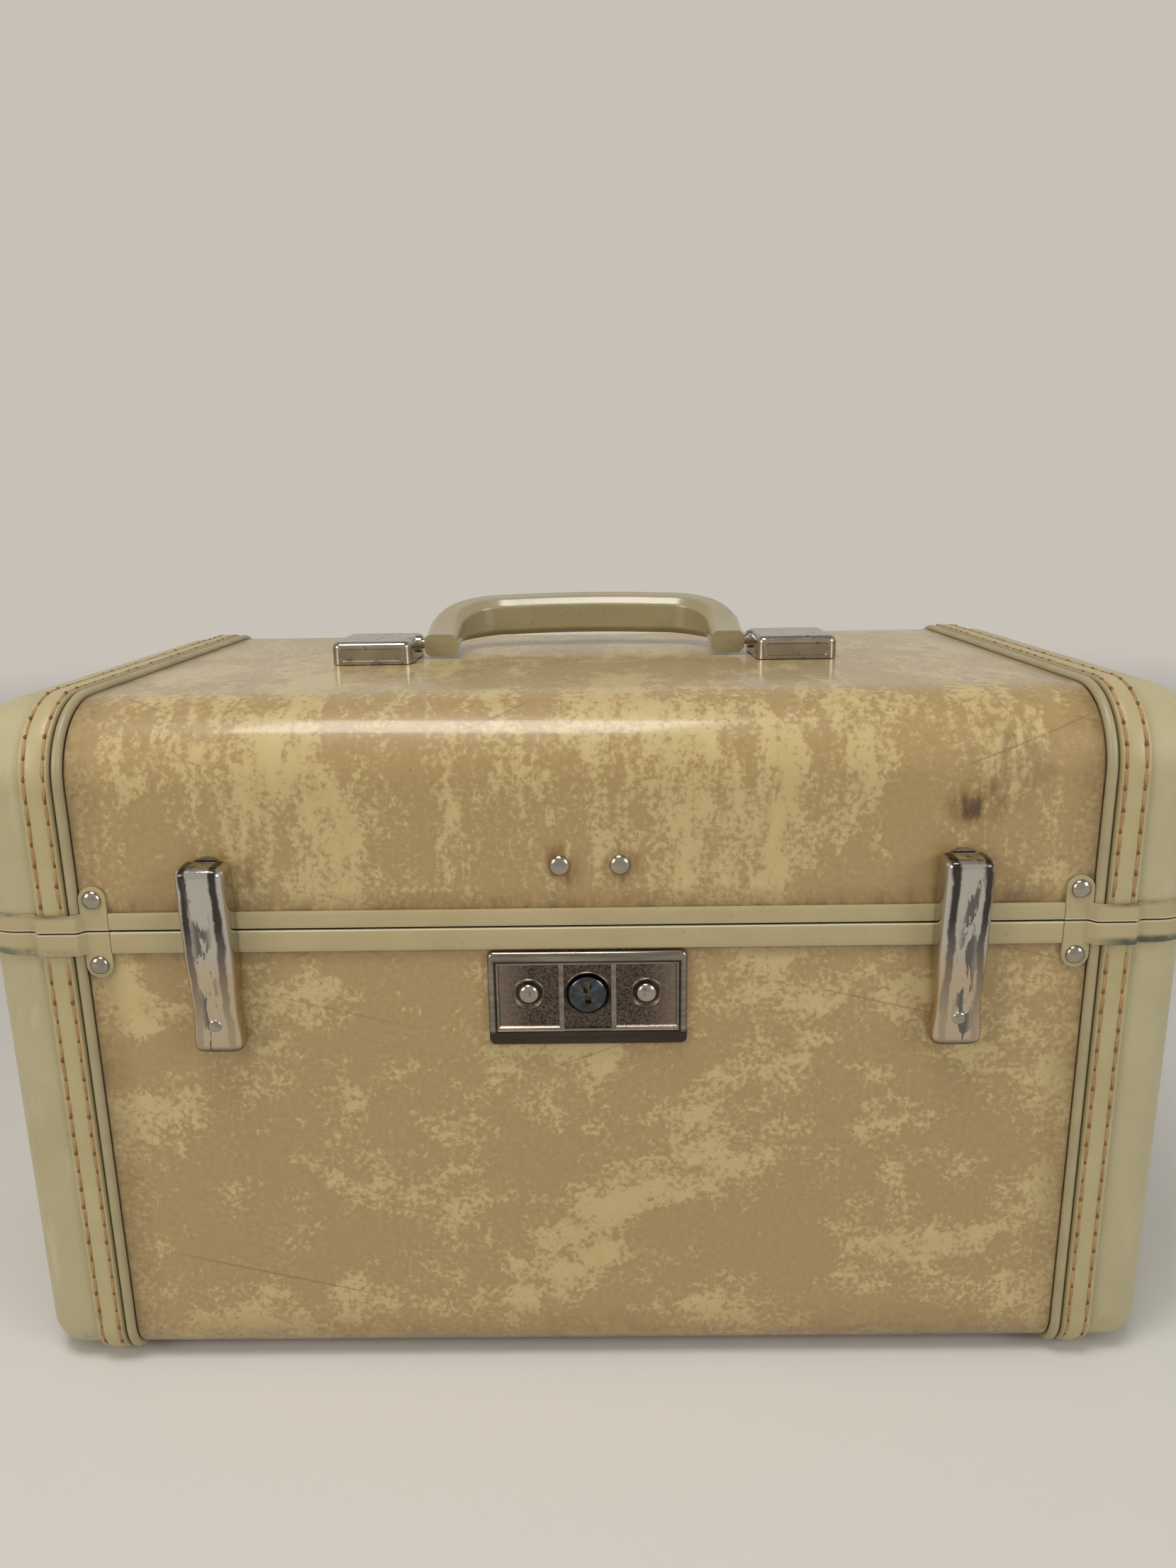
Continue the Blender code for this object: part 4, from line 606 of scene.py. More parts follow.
# A dark needle hole, pulled a little long, lies between each stitch and the next.
next_hole = add(stitching, "Math", {0: sewn["Pitch"], 1: 0.5}, operation="MULTIPLY")
hole_place = add(stitching, "CombineXYZ", {"Z": next_hole})
hole_long = add(stitching, "Math", {0: sewn["Width"], 1: 1.3}, operation="MULTIPLY")
hole_size = add(stitching, "CombineXYZ", {"X": sewn["Width"], "Y": sewn["Width"], "Z": hole_long})
hole = add(
    stitching, "GeometryNodeTransform", {"Geometry": bead, "Translation": hole_place, "Scale": hole_size}
)
dark = add(stitching, "GeometryNodeSetMaterial", {"Geometry": hole, "Material": sewn["Hole"]})
stitch = add(stitching, "GeometryNodeJoinGeometry")
feed(stitching, stitch, {0: waxed})
feed(stitching, stitch, {0: dark})
sown = add(
    stitching, "GeometryNodeInstanceOnPoints", {"Points": spots, "Instance": stitch, "Rotation": leaning}
)
real = add(stitching, "GeometryNodeRealizeInstances", {0: sown})
add(stitching, "NodeGroupOutput", {0: real})


def stitch_row(name, body, side, x, out, seed):
    """A row of stitches along a binding, as a plain mesh; under the foot it is pressed in."""
    line = []
    for (y, z), away in around(body)[1:-1]:
        lift = out - 0.75 * MM * max(-away[1], 0)
        line.append((side * x, y + away[0] * lift, z + away[1] * lift))
    curve = bpy.data.curves.new(name, "CURVE")
    curve.dimensions = "3D"
    spline = curve.splines.new("POLY")
    spline.points.add(len(line) - 1)
    for point, place in zip(spline.points, line):
        point.co = (*place, 1)
    guide = bpy.data.objects.new(name + "_line", curve)
    scene.collection.objects.link(guide)
    sewing = guide.modifiers.new("sewing", "NODES")
    sewing.node_group = stitching
    for key, value in (
        ("Pitch", 6.4 * MM), ("Length", 5.6 * MM), ("Width", 1.1 * MM), ("Seed", seed), ("Thread", thread),
        ("Hole", needle_hole),
    ):
        set_input(sewing, key, value)
    return settle(guide, name)


STITCH_ROWS = (("inner", 155.6, 1.62), ("outer", 161.4, 1.5))
seed = 3
for body, _ in HALVES:
    for name, side in SIDES:
        for row, x, out in STITCH_ROWS:
            seed += 1
            stitches = stitch_row(f"{body}_stitches_{row}_{name}", body, side, x * MM, out * MM, seed)
            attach(stitches, body)

# The straps: thin steel pressed and painted to match, round each end of both halves along the split.
# Each rises over the binding and ends front and back in a rounded ear. Handling has left dark smears
# on them and worn the paint thin at the edges.
painted_steel, tree, shader, place = new_finish("painted_pressed_steel")
cloud = add(tree, "TexNoise", {"Vector": place, "Scale": 40.0, "Detail": 5.0, "Roughness": 0.6})
fleck = add(tree, "TexNoise", {"Vector": place, "Scale": 420.0, "Detail": 3.0, "Roughness": 0.7})
colour = add(tree, "Mix", {0: cloud, 6: linear("A5976F"), 7: linear("BBAE87")}, data_type="RGBA")
apart = add(tree, "SeparateXYZ", {0: place}).outputs
across = add(tree, "Math", {0: apart["X"]}, operation="ABSOLUTE")
gap = off_by(tree, apart["Z"], SPLIT)
# The outer 1 mm of each strap is darkened round the ends of the case, and broken up by the cloudy noise.
edge = add(tree, "MapRange", {"Value": gap, "From Min": 4.3 * MM, "From Max": 5.6 * MM})
end = add(tree, "MapRange", {"Value": across, "From Min": 148 * MM, "From Max": 160 * MM})
dirt = add(tree, "Math", {0: edge, 1: end}, operation="MULTIPLY")
broken = add(tree, "MapRange", {"Value": cloud, "From Min": 0.42, "From Max": 0.58, "To Max": 0.9})
smear = add(tree, "Math", {0: dirt, 1: broken}, operation="MULTIPLY")
colour = add(tree, "Mix", {0: smear, 6: colour, 7: linear("2F4038")}, data_type="RGBA")
colour = lay(tree, colour, fleck, 0.68, 0.74, 0.7, "75664A")
# The lip at the split is rubbed bright within 0.5 mm of the edge.
colour = lay(tree, colour, gap, 0.75 * MM, 0.4 * MM, 1.0, "D8D0AC")
bump = add(tree, "Bump", {"Height": cloud, "Strength": 0.5, "Distance": 0.35 * MM})
feed(tree, shader, {"Base Color": colour, "Normal": bump, "Roughness": 0.34})
EAR_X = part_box("base_ear_rivet_right")[0].x / 2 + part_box("base_ear_rivet_right")[1].x / 2
EAR_HALF = 4.0 * MM
STRAP_OUT = 1.1 * MM
STRAP_THICK = 0.8 * MM
HUMP = 2.0 * MM
for body, _ in HALVES:
    low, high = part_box(body + "_strap_right")
    rivet_low, rivet_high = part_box(body + "_ear_rivet_right")
    ear_z = (rivet_low.z + rivet_high.z) / 2
    if body == "base":
        z_limits = (high.z - 6.7 * MM, high.z)
    else:
        z_limits = (low.z, low.z + 5.2 * MM)
    for name, side in SIDES:
        shape = case_form(STRAP_OUT)
        start = EAR_X - EAR_HALF
        keep(shape, 0, start if side > 0 else -start, -side)
        keep(shape, 2, z_limits[0], -1)
        keep(shape, 2, z_limits[1], 1)
        for place in range(0, 9):
            for root in (PIPING_START - 1.6 * MM, BINDING_END - 0.6 * MM):
                cut(shape, (side * (root + place * 0.3 * MM), 0, 0), (1, 0, 0))
        for vert in shape.verts:
            reach = abs(vert.co.x)
            rise = min(max((reach - PIPING_START + 1.6 * MM) / (2.4 * MM), 0), 1)
            fall = min(max((BINDING_END + 1.8 * MM - reach) / (2.4 * MM), 0), 1)
            step = rise * rise * (3 - 2 * rise) * fall * fall * (3 - 2 * fall)
            if abs(vert.co.y) > CLOTH_OUT:
                vert.co.y += math.copysign(HUMP * step, vert.co.y)
        strap = link_mesh(f"{body}_painted_strap_{name}", shape, painted_steel)
        give_wall(strap, STRAP_THICK)
        ears = bmesh.new()
        root_z = sum(z_limits) / 2
        sweep = 180 if body == "base" else -180
        outline = [(-EAR_HALF, root_z)]
        for step in range(17):
            angle = math.radians(180 + sweep * step / 16)
            outline.append((EAR_HALF * math.cos(angle), ear_z + EAR_HALF * math.sin(angle)))
        outline.append((EAR_HALF, root_z))
        for facing in (-1, 1):
            near = facing * (CLOTH_OUT + STRAP_OUT - STRAP_THICK + 0.01 * MM)
            far = facing * (CLOTH_OUT + STRAP_OUT - 0.01 * MM)
            loft(
                ears, [[ears.verts.new((side * EAR_X + x, y, z)) for x, z in outline] for y in (near, far)]
            )
        ear_piece = link_mesh("ear_pair", ears, painted_steel)
        union = strap.modifiers.new("ears", "BOOLEAN")
        union.operation = "UNION"
        union.solver = "EXACT"
        union.object = ear_piece
        strap = settle(strap, f"{body}_painted_strap_{name}")
        strap.data.name = strap.name
        bpy.data.objects.remove(ear_piece, do_unlink=True)
        soften(strap, 0.22 * MM, 2, 50)
        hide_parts(f"{body}_strap_{name}")
        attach(strap, body)

# The strips: two painted steel strips a face, front and back, closing the split between the ears. The
# edge at the split is rolled, and the face is very slightly crowned.
STRIP_ROLL = 0.45 * MM
for body, _ in HALVES:
    for place, facing in (("front", -1), ("back", 1)):
        low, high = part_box(f"{body}_strip_{place}")
        near, far = sorted((abs(low.y), abs(high.y)))
        split_z, far_z = (high.z, low.z) if body == "base" else (low.z, high.z)
        turn = math.copysign(1.0, far_z - split_z)
        tall = abs(far_z - split_z)
        outline = [(near, split_z)]
        for step in range(7):
            angle = math.radians(90 * step / 6)
            roll = (math.sin(angle) - 1, 1 - math.cos(angle))
            outline.append((far + STRIP_ROLL * roll[0], split_z + turn * STRIP_ROLL * roll[1]))
        for share in (0.2, 0.4, 0.6, 0.8, 0.92):
            outline.append((far + 0.06 * MM * math.sin(math.pi * share), split_z + turn * tall * share))
        outline += [(far - 0.1 * MM, far_z - turn * 0.02 * MM), (far - 0.3 * MM, far_z), (near, far_z)]
        shape = bmesh.new()
        loft(shape, [[shape.verts.new((x, facing * y, z)) for y, z in outline] for x in (low.x, high.x)])
        strip = link_mesh(f"{body}_rolled_strip_{place}", shape, painted_steel)
        strip.data.shade_smooth()
        strip.data.set_sharp_from_angle(angle=math.radians(40))
        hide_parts(f"{body}_strip_{place}")
        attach(strip, body)

# The rivets: nickel-plated brass, domed and dulled, with grey bare spots. They hold the ears, the lock,
# the hasp and the hinges.
nickel, tree, shader, place = new_finish("worn_nickel_plate")
cloud = add(tree, "TexNoise", {"Vector": place, "Scale": 70.0, "Detail": 4.0, "Roughness": 0.6})
spot = add(
    tree, "TexNoise", {"Vector": place, "Scale": 260.0, "Detail": 4.0, "Roughness": 0.65, "Distortion": 0.4}
)
tone = add(tree, "Mix", {0: cloud, 6: linear("7F766A"), 7: linear("C2BCAE")}, data_type="RGBA")
bare = add(
    tree, "MapRange", {"Value": spot, "From Min": 0.6, "From Max": 0.66}, interpolation_type="SMOOTHSTEP"
)
colour = add(tree, "Mix", {0: bare, 6: tone, 7: linear("75726C")}, data_type="RGBA")
gloss = add(tree, "MapRange", {"Value": bare, "To Min": 0.17, "To Max": 0.42})
bump = add(tree, "Bump", {"Height": spot, "Strength": 0.3, "Distance": 0.08 * MM})
feed(tree, shader, {"Base Color": colour, "Roughness": gloss, "Normal": bump, "Metallic": 1.0})

riveting = bpy.data.node_groups.new("riveting", "GeometryNodeTree")
riveting.interface.new_socket("Places", in_out="INPUT", socket_type="NodeSocketGeometry")
for name, kind in (
    ("Head", "NodeSocketFloat"),
    ("Rise", "NodeSocketFloat"),
    ("Shank", "NodeSocketFloat"),
    ("Depth", "NodeSocketFloat"),
    ("Metal", "NodeSocketMaterial"),
):
    riveting.interface.new_socket(name, in_out="INPUT", socket_type=kind)
riveting.interface.new_socket("Rivets", in_out="OUTPUT", socket_type="NodeSocketGeometry")
given = add(riveting, "NodeGroupInput").outputs
ball = add(riveting, "GeometryNodeMeshUVSphere", {"Segments": 24, "Rings": 14, "Radius": 0.5})
double_rise = add(riveting, "Math", {0: given["Rise"], 1: 2.0}, operation="MULTIPLY")
dome_size = add(riveting, "CombineXYZ", {"X": given["Head"], "Y": given["Head"], "Z": double_rise})
dome = add(riveting, "GeometryNodeTransform", {"Geometry": ball, "Scale": dome_size})
bar = add(
    riveting,
    "GeometryNodeMeshCylinder",
    {"Vertices": 16, "Radius": given["Shank"], "Depth": given["Depth"]},
)
half_depth = add(riveting, "Math", {0: given["Depth"], 1: -0.5}, operation="MULTIPLY")
below = add(riveting, "CombineXYZ", {"Z": half_depth})
shank = add(riveting, "GeometryNodeTransform", {"Geometry": bar, "Translation": below})
rivet_form = add(riveting, "GeometryNodeJoinGeometry")
feed(riveting, rivet_form, {0: dome})
feed(riveting, rivet_form, {0: shank})
away = add(riveting, "GeometryNodeInputNormal")
upright = add(riveting, "FunctionNodeAlignRotationToVector", {"Vector": away}, axis="Z")
placed = add(
    riveting,
    "GeometryNodeInstanceOnPoints",
    {"Points": given["Places"], "Instance": rivet_form, "Rotation": upright},
)
whole = add(riveting, "GeometryNodeRealizeInstances", {0: placed})
metal = add(riveting, "GeometryNodeSetMaterial", {"Geometry": whole, "Material": given["Metal"]})
add(riveting, "NodeGroupOutput", {0: metal})


def rivets(name, places, facing, head, rise, shank, depth, metal_finish):
    """Domed rivets at (x, out, z) places on the front (-1) or back (1), as one plain mesh."""
    shape = bmesh.new()
    for x, out, z in places:
        y = facing * (CLOTH_OUT + out)
        size = 0.1 * MM
        corners = [(x - size, y, z - size), (x + size, y, z - size), (x, y, z + size)]
        if facing > 0:
            corners.reverse()
        shape.faces.new([shape.verts.new(corner) for corner in corners])
    seats = link_mesh(name + "_seats", shape)
    centre = seats.modifiers.new("riveting", "NODES")
    centre.node_group = riveting
    given = {"Head": head, "Rise": rise, "Shank": shank, "Depth": depth, "Metal": metal_finish}
    for key, value in given.items():
        set_input(centre, key, value)
    return settle(seats, name)


# The ear rivets: a domed one through each ear into the wooden wall. The front ones replace the solids, and
# the heads at the back are added here.
for body, _ in HALVES:
    for name, side in SIDES:
        low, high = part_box(f"{body}_ear_rivet_{name}")
        spot = (side * EAR_X, STRAP_OUT, (low.z + high.z) / 2)
        piece = rivets(
            f"{body}_domed_rivet_{name}", [spot], -1, high.x - low.x, 1.5 * MM, 1.4 * MM, 7.8 * MM, nickel
        )
        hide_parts(f"{body}_ear_rivet_{name}")
        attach(piece, body)
    spots = [(side * EAR_X, STRAP_OUT, (low.z + high.z) / 2) for _, side in SIDES]
    piece = rivets(body + "_back_rivets", spots, 1, high.x - low.x, 1.5 * MM, 1.4 * MM, 1.0 * MM, nickel)
    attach(piece, body)

# The rims: folded zinc-plated steel that caps both wooden edges, with the tongue on the base. The lock's
# case, bolt and hasp are the same sheet, all riveted inside.
zinc, tree, shader, place = new_finish("dull_zinc_plate")
spangle = add(tree, "TexVoronoi", {"Vector": place, "Scale": 220.0})
haze = add(tree, "TexNoise", {"Vector": place, "Scale": 55.0, "Detail": 5.0, "Roughness": 0.65})
tone = add(tree, "Mix", {0: haze, 6: linear("6D6C68"), 7: linear("A9A8A2")}, data_type="RGBA")
colour = add(
    tree, "Mix", {0: 0.12, 6: tone, 7: spangle.outputs["Color"]}, data_type="RGBA", blend_type="OVERLAY"
)
gloss = add(tree, "MapRange", {"Value": haze, "To Min": 0.28, "To Max": 0.55})
feed(tree, shader, {"Base Color": colour, "Roughness": gloss, "Metallic": 1.0})
dress(zinc, "base_rim", "lid_rim", "lock_case", "lock_bolt", "lid_hasp")
for name in ("lock_case", "lock_bolt", "lid_hasp"):
    soften(nodes[name], 0.2 * MM)

# The lock plate: stamped brass, nickel plated, with a rounded frame, two ribs and three sunk panels. The
# panels are etched and dark with age. The frame's dark and pale streaks are painted reflection over rubbed
# plating. The wide lower rim is bare, darkened by a painted dark reflection, and a painted shade lines the
# recess.
lock_nickel, tree, shader, place = new_finish("stamped_nickel_lock_plate")
apart = add(tree, "SeparateXYZ", {0: place}).outputs
lock_low, lock_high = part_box("lock_plate")
LOCK_FACE = lock_low.y
LOCK_X = (lock_low.x + lock_high.x) / 2
LOCK_Z = (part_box("lock_plug")[0].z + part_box("lock_plug")[1].z) / 2
# Painted reflection: the frame's long dark and pale streaks are partly rubbed plating and partly painted
# reflection.
rub_and_reflection_run = add(tree, "Mapping", {"Vector": place, "Scale": (60.0, 300.0, 700.0)})
cloud = add(tree, "TexNoise", {"Vector": rub_and_reflection_run, "Detail": 4.0, "Roughness": 0.6, "Scale": 1.0})
RECESS_TOP = lock_high.z - 3.9 * MM
RECESS_FOOT = lock_low.z + 5.2 * MM
RECESS_X = 27.2 * MM
grit = add(tree, "TexNoise", {"Vector": place, "Scale": 1900.0, "Detail": 2.0, "Roughness": 0.7})
sunk = add(
    tree,
    "MapRange",
    {"Value": apart["Y"], "From Min": LOCK_FACE + 0.45 * MM, "From Max": LOCK_FACE + 0.85 * MM},
)
frame_tone = add(tree, "Mix", {0: cloud, 6: linear("423A34"), 7: linear("B4AA9D")}, data_type="RGBA")
grain = add(tree, "MapRange", {"Value": grit, "From Min": 0.35, "From Max": 0.7})
panel_tone = add(tree, "Mix", {0: grain, 6: linear("332C28"), 7: linear("7A6E63")}, data_type="RGBA")
# The outer third of each side panel is paler.
across = off_by(tree, apart["X"], LOCK_X)
paler = add(tree, "MapRange", {"Value": across, "From Min": 17 * MM, "From Max": 30 * MM, "To Max": 0.75})
panel_tone = add(tree, "Mix", {0: paler, 6: panel_tone, 7: linear("9C8B7C")}, data_type="RGBA")
colour = add(tree, "Mix", {0: sunk, 6: frame_tone, 7: panel_tone}, data_type="RGBA")
# The lower rim is darkened with a painted dark reflection.
colour = lay(tree, colour, apart["Z"], lock_low.z + 4.9 * MM, lock_low.z + 3.9 * MM, 0.85, "2E2722")
# A painted shade, a dark line 0.9 mm wide, lies round the recess.
rise = off_by(tree, apart["Z"], (RECESS_TOP + RECESS_FOOT) / 2)
above = add(tree, "Math", {0: rise, 1: (RECESS_TOP - RECESS_FOOT) / 2}, operation="SUBTRACT")
beside = add(tree, "Math", {0: across, 1: RECESS_X}, operation="SUBTRACT")
outside = add(tree, "Math", {0: above, 1: beside}, operation="MAXIMUM")
outside = off_by(tree, outside, 0.65 * MM)
colour = lay(tree, colour, outside, 0.6 * MM, 0.2 * MM, 0.85, "241D19")
gloss = add(tree, "MapRange", {"Value": sunk, "To Min": 0.16, "To Max": 0.4})
bump = add(tree, "Bump", {"Height": grit, "Strength": 0.35, "Distance": 0.05 * MM})
feed(tree, shader, {"Base Color": colour, "Roughness": gloss, "Normal": bump, "Metallic": 1.0})


def slab(x_limits, z_limits, front, back, slopes=(0, 0, 0, 0)):
    """A block from front to back in y whose back face is drawn in by slopes left, right, foot and top."""
    shape = bmesh.new()
    left, right, foot, top = slopes
    (west, east), (low, high) = x_limits, z_limits
    near = [(west, low), (east, low), (east, high), (west, high)]
    west, east, low, high = west + left, east - right, low + foot, high - top
    far = [(west, low), (east, low), (east, high), (west, high)]
    loft(shape, [[shape.verts.new((x, y, z)) for x, z in ring] for ring, y in ((near, front), (far, back))])
    return shape


def lathe(x, z, profile, steps=48):
    """A ring turned about an axis along y, from a closed (radius, y) profile; radius zero closes it."""
    shape = bmesh.new()
    rings = []
    for step in range(steps):
        angle = math.tau * step / steps
        rings.append(
            [shape.verts.new((x + r * math.cos(angle), y, z + r * math.sin(angle))) for r, y in profile]
        )
    count = len(profile)
    for number, ring in enumerate(rings):
        after = rings[(number + 1) % steps]
        for place in range(count):
            following = (place + 1) % count
            shape.faces.new((ring[place], ring[following], after[following], after[place]))
    bmesh.ops.remove_doubles(shape, verts=shape.verts, dist=1e-7)
    bmesh.ops.recalc_face_normals(shape, faces=shape.faces)
    return shape


def merge(piece, shape, operation):
    """Cut or join a piece with a bmesh by an exact boolean."""
    tool = link_mesh(f"{piece.name}_{operation.lower()}_{len(piece.modifiers)}", shape)
    step = piece.modifiers.new(tool.name, "BOOLEAN")
    step.operation = operation
    step.solver = "EXACT"
    step.object = tool
    tool.hide_render = True
    return tool


def fix(piece, name, tools):
    """Settle a piece and take its boolean tools away."""
    result = settle(piece, name)
    result.data.name = name
    for tool in tools:
        bpy.data.objects.remove(tool, do_unlink=True)
    return result


RIB_X = 7.9 * MM
RIB_HALF = 0.6 * MM
FLOOR_Y = LOCK_FACE + 0.9 * MM
plate_shape = slab((lock_low.x, lock_high.x), (lock_low.z, lock_high.z), lock_high.y, LOCK_FACE)
round_off(plate_shape, lambda one, two: abs(one.y - two.y) > MM, 1.9 * MM, 4)
round_off(
    plate_shape, lambda one, two: max(abs(one.y - LOCK_FACE), abs(two.y - LOCK_FACE)) < HAIR, 1.35 * MM, 7
)
lock_piece = link_mesh("lock_plate_blank", plate_shape, lock_nickel)
tools = []
front = LOCK_FACE - 0.5 * MM
RECESS_Z = (RECESS_FOOT, RECESS_TOP)
for x_span, z_span, floor, slopes in (
    (
        (LOCK_X - RECESS_X - 0.8 * MM, LOCK_X + RECESS_X + 0.8 * MM),
        (RECESS_FOOT - 0.6 * MM, RECESS_TOP + 0.8 * MM),
        LOCK_FACE + 0.3 * MM,
        (0.35, 0.35, 0.35, 0.35),
    ),
    ((LOCK_X - RECESS_X, LOCK_X - RIB_X - RIB_HALF), RECESS_Z, FLOOR_Y, (0.5, 0.25, 1.0, 0.4)),
    ((LOCK_X - RIB_X + RIB_HALF, LOCK_X + RIB_X - RIB_HALF), RECESS_Z, FLOOR_Y, (0.25, 0.25, 0.3, 0.4)),
    ((LOCK_X + RIB_X + RIB_HALF, LOCK_X + RECESS_X), RECESS_Z, FLOOR_Y, (0.25, 0.5, 1.0, 0.4)),
):
    hollow = slab(x_span, z_span, front, floor, [slope * MM for slope in slopes])
    tools.append(merge(lock_piece, hollow, "DIFFERENCE"))
plate_back = lock_high.y + 0.2 * MM
for x, inner, outer in (
    (LOCK_X - 17.8 * MM, 3.3 * MM, 4.6 * MM),
    (LOCK_X + 17.8 * MM, 3.3 * MM, 4.6 * MM),
    (LOCK_X, 5.75 * MM, 6.75 * MM),
):
    deep = lock_high.y - 0.3 * MM
    lip = [
        (outer - 0.3 * MM, deep),
        (outer - 0.3 * MM, FLOOR_Y - 0.3 * MM),
        (outer + 0.05 * MM, FLOOR_Y - 0.3 * MM),
        (outer + 0.4 * MM, FLOOR_Y + 0.05 * MM),
        (outer + 0.4 * MM, deep),
    ]
    tools.append(merge(lock_piece, lathe(x, LOCK_Z, lip), "UNION"))
    well = plate_back if inner > 5 * MM else FLOOR_Y + 0.65 * MM
    dish = [
        (0, front),
        (outer, front),
        (outer, FLOOR_Y - 0.25 * MM),
        (inner, FLOOR_Y + 0.6 * MM),
        (inner, well),
        (0, well),
    ]
    tools.append(merge(lock_piece, lathe(x, LOCK_Z, dish), "DIFFERENCE"))
lock_piece = fix(lock_piece, "stamped_lock_plate", tools)
lock_piece.data.set_sharp_from_angle(angle=math.radians(24))
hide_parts("lock_plate")
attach(lock_piece, "base")
for name, side in SIDES:
    low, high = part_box("lock_rivet_" + name)
    spot = ((low.x + high.x) / 2, 1.2 * MM, (low.z + high.z) / 2)
    piece = rivets(
        f"lock_domed_rivet_{name}", [spot], -1, high.x - low.x, 1.6 * MM, 1.5 * MM, 7.5 * MM, nickel
    )
    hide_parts("lock_rivet_" + name)
    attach(piece, "base")

# The plug: turned brass, plated and gone dark, with fine turning grooves round the stepped keyhole.
plug_metal, tree, shader, place = new_finish("turned_dark_plug")
haze = add(tree, "TexNoise", {"Vector": place, "Scale": 500.0, "Detail": 3.0})
colour = add(tree, "Mix", {0: haze, 6: linear("1E2023"), 7: linear("62656A")}, data_type="RGBA")
feed(tree, shader, {"Base Color": colour, "Metallic": 1.0, "Roughness": 0.24})
plug_low, plug_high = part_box("lock_plug")
PLUG_FACE = plug_low.y
PLUG_HALF = (plug_high.z - plug_low.z) / 2
turned = [(0, PLUG_FACE), (0.8 * MM, PLUG_FACE)]
for groove in range(9):
    reach = 0.95 * MM + groove * 0.48 * MM
    turned += [(reach, PLUG_FACE + 0.13 * MM), (reach + 0.24 * MM, PLUG_FACE)]
turned += [
    (PLUG_HALF - 0.4 * MM, PLUG_FACE + 0.05 * MM),
    (PLUG_HALF, PLUG_FACE + 0.4 * MM),
    (PLUG_HALF, lock_high.y - 0.1 * MM),
    (4.0 * MM, lock_high.y - 0.1 * MM),
    (4.0 * MM, plug_high.y),
    (0, plug_high.y),
]
plug = link_mesh("plug_blank", lathe(LOCK_X, LOCK_Z, turned, 64), plug_metal)
KEYWAY = (
    (-1.2, 4.3), (1.2, 4.3), (1.2, 2.2), (0.6, 1.7), (1.1, 0.9), (1.1, -2.9), (-0.6, -2.9), (-0.6, -0.4),
    (-0.1, 0.3), (-1.2, 0.9),
)
keyway = bmesh.new()
ends = [
    [keyway.verts.new((LOCK_X + x * MM, y, LOCK_Z + z * MM)) for x, z in KEYWAY]
    for y in (PLUG_FACE - 0.3 * MM, PLUG_FACE + 4.0 * MM)
]
loft(keyway, ends)
plug = fix(plug, "turned_lock_plug", [merge(plug, keyway, "DIFFERENCE")])
plug.data.set_sharp_from_angle(angle=math.radians(35))
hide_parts("lock_plug")
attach(plug, "lock_plug")

# The studs: two domed nickel rivets above the lock that hold the hasp inside the lid.
for name in ("left", "right"):
    low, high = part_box("lid_stud_" + name)
    spot = ((low.x + high.x) / 2, 0.0, (low.z + high.z) / 2)
    piece = rivets(
        f"hasp_domed_stud_{name}", [spot], -1, high.x - low.x, 1.5 * MM, 1.5 * MM, 6.5 * MM, nickel
    )
    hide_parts("lid_stud_" + name)
    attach(piece, "lid")

# The draw latches: a drawn nickel shell swings on a pin through a link, and its hooked top grips the
# strike on the lid. Its lower half is tinted warm with a painted reflection of the cloth, and the plating is
# worn grey in spots along the middle.
latch_nickel, tree, shader, place = new_finish("worn_nickel_latch")
LATCH_X = (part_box("latch_lever_right")[0].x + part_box("latch_lever_right")[1].x) / 2
LATCH_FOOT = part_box("latch_lever_right")[0].z
LATCH_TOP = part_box("latch_lever_right")[1].z
apart = add(tree, "SeparateXYZ", {0: place}).outputs
across = add(tree, "Math", {0: apart["X"]}, operation="ABSOLUTE")
across = add(tree, "Math", {0: across, 1: LATCH_X}, operation="SUBTRACT")
share = add(tree, "MapRange", {"Value": apart["Z"], "From Min": LATCH_FOOT, "From Max": LATCH_TOP})
cloud = add(tree, "TexNoise", {"Vector": place, "Scale": 90.0, "Detail": 4.0, "Roughness": 0.62})
long = add(tree, "Mapping", {"Vector": place, "Scale": (300.0, 300.0, 75.0)})
spot = add(
    tree, "TexNoise", {"Vector": long, "Scale": 1.0, "Detail": 4.0, "Roughness": 0.6, "Distortion": 0.3}
)
# Painted reflection: the lower half of the shell is warmer, as if it reflects the cloth below.
upper = add(
    tree, "MapRange", {"Value": share, "From Min": 0.38, "From Max": 0.62}, interpolation_type="SMOOTHSTEP"
)
tone = add(tree, "Mix", {0: upper, 6: linear("C6B59B"), 7: linear("C2BEB5")}, data_type="RGBA")
# Two painted dark reflection bands run down the shell, 4.6 mm each side of its middle, and fade out towards
# the foot.
off = add(tree, "Math", {0: across}, operation="ABSOLUTE")
wander = add(tree, "Math", {0: cloud, 1: 3.2 * MM, 2: off}, operation="MULTIPLY_ADD")
off = off_by(tree, wander, 6.2 * MM)
painted_dark_reflection = add(
    tree,
    "MapRange",
    {"Value": off, "From Min": 1.5 * MM, "From Max": 0.7 * MM},
    interpolation_type="SMOOTHSTEP",
)
fade = add(
    tree, "MapRange", {"Value": share, "From Min": 0.15, "From Max": 0.7, "To Min": 0.25, "To Max": 0.92}
)
painted_dark_reflection = add(tree, "Math", {0: painted_dark_reflection, 1: fade}, operation="MULTIPLY")
# A painted dark reflection darkens the rim of the foot, over about 1.5 mm.
rim = add(
    tree,
    "MapRange",
    {"Value": share, "From Min": 0.055, "From Max": 0.015, "To Max": 0.8},
    interpolation_type="SMOOTHSTEP",
)
painted_dark_reflection = add(tree, "Math", {0: painted_dark_reflection, 1: rim}, operation="MAXIMUM")
colour = add(tree, "Mix", {0: painted_dark_reflection, 6: tone, 7: linear("2B2320")}, data_type="RGBA")
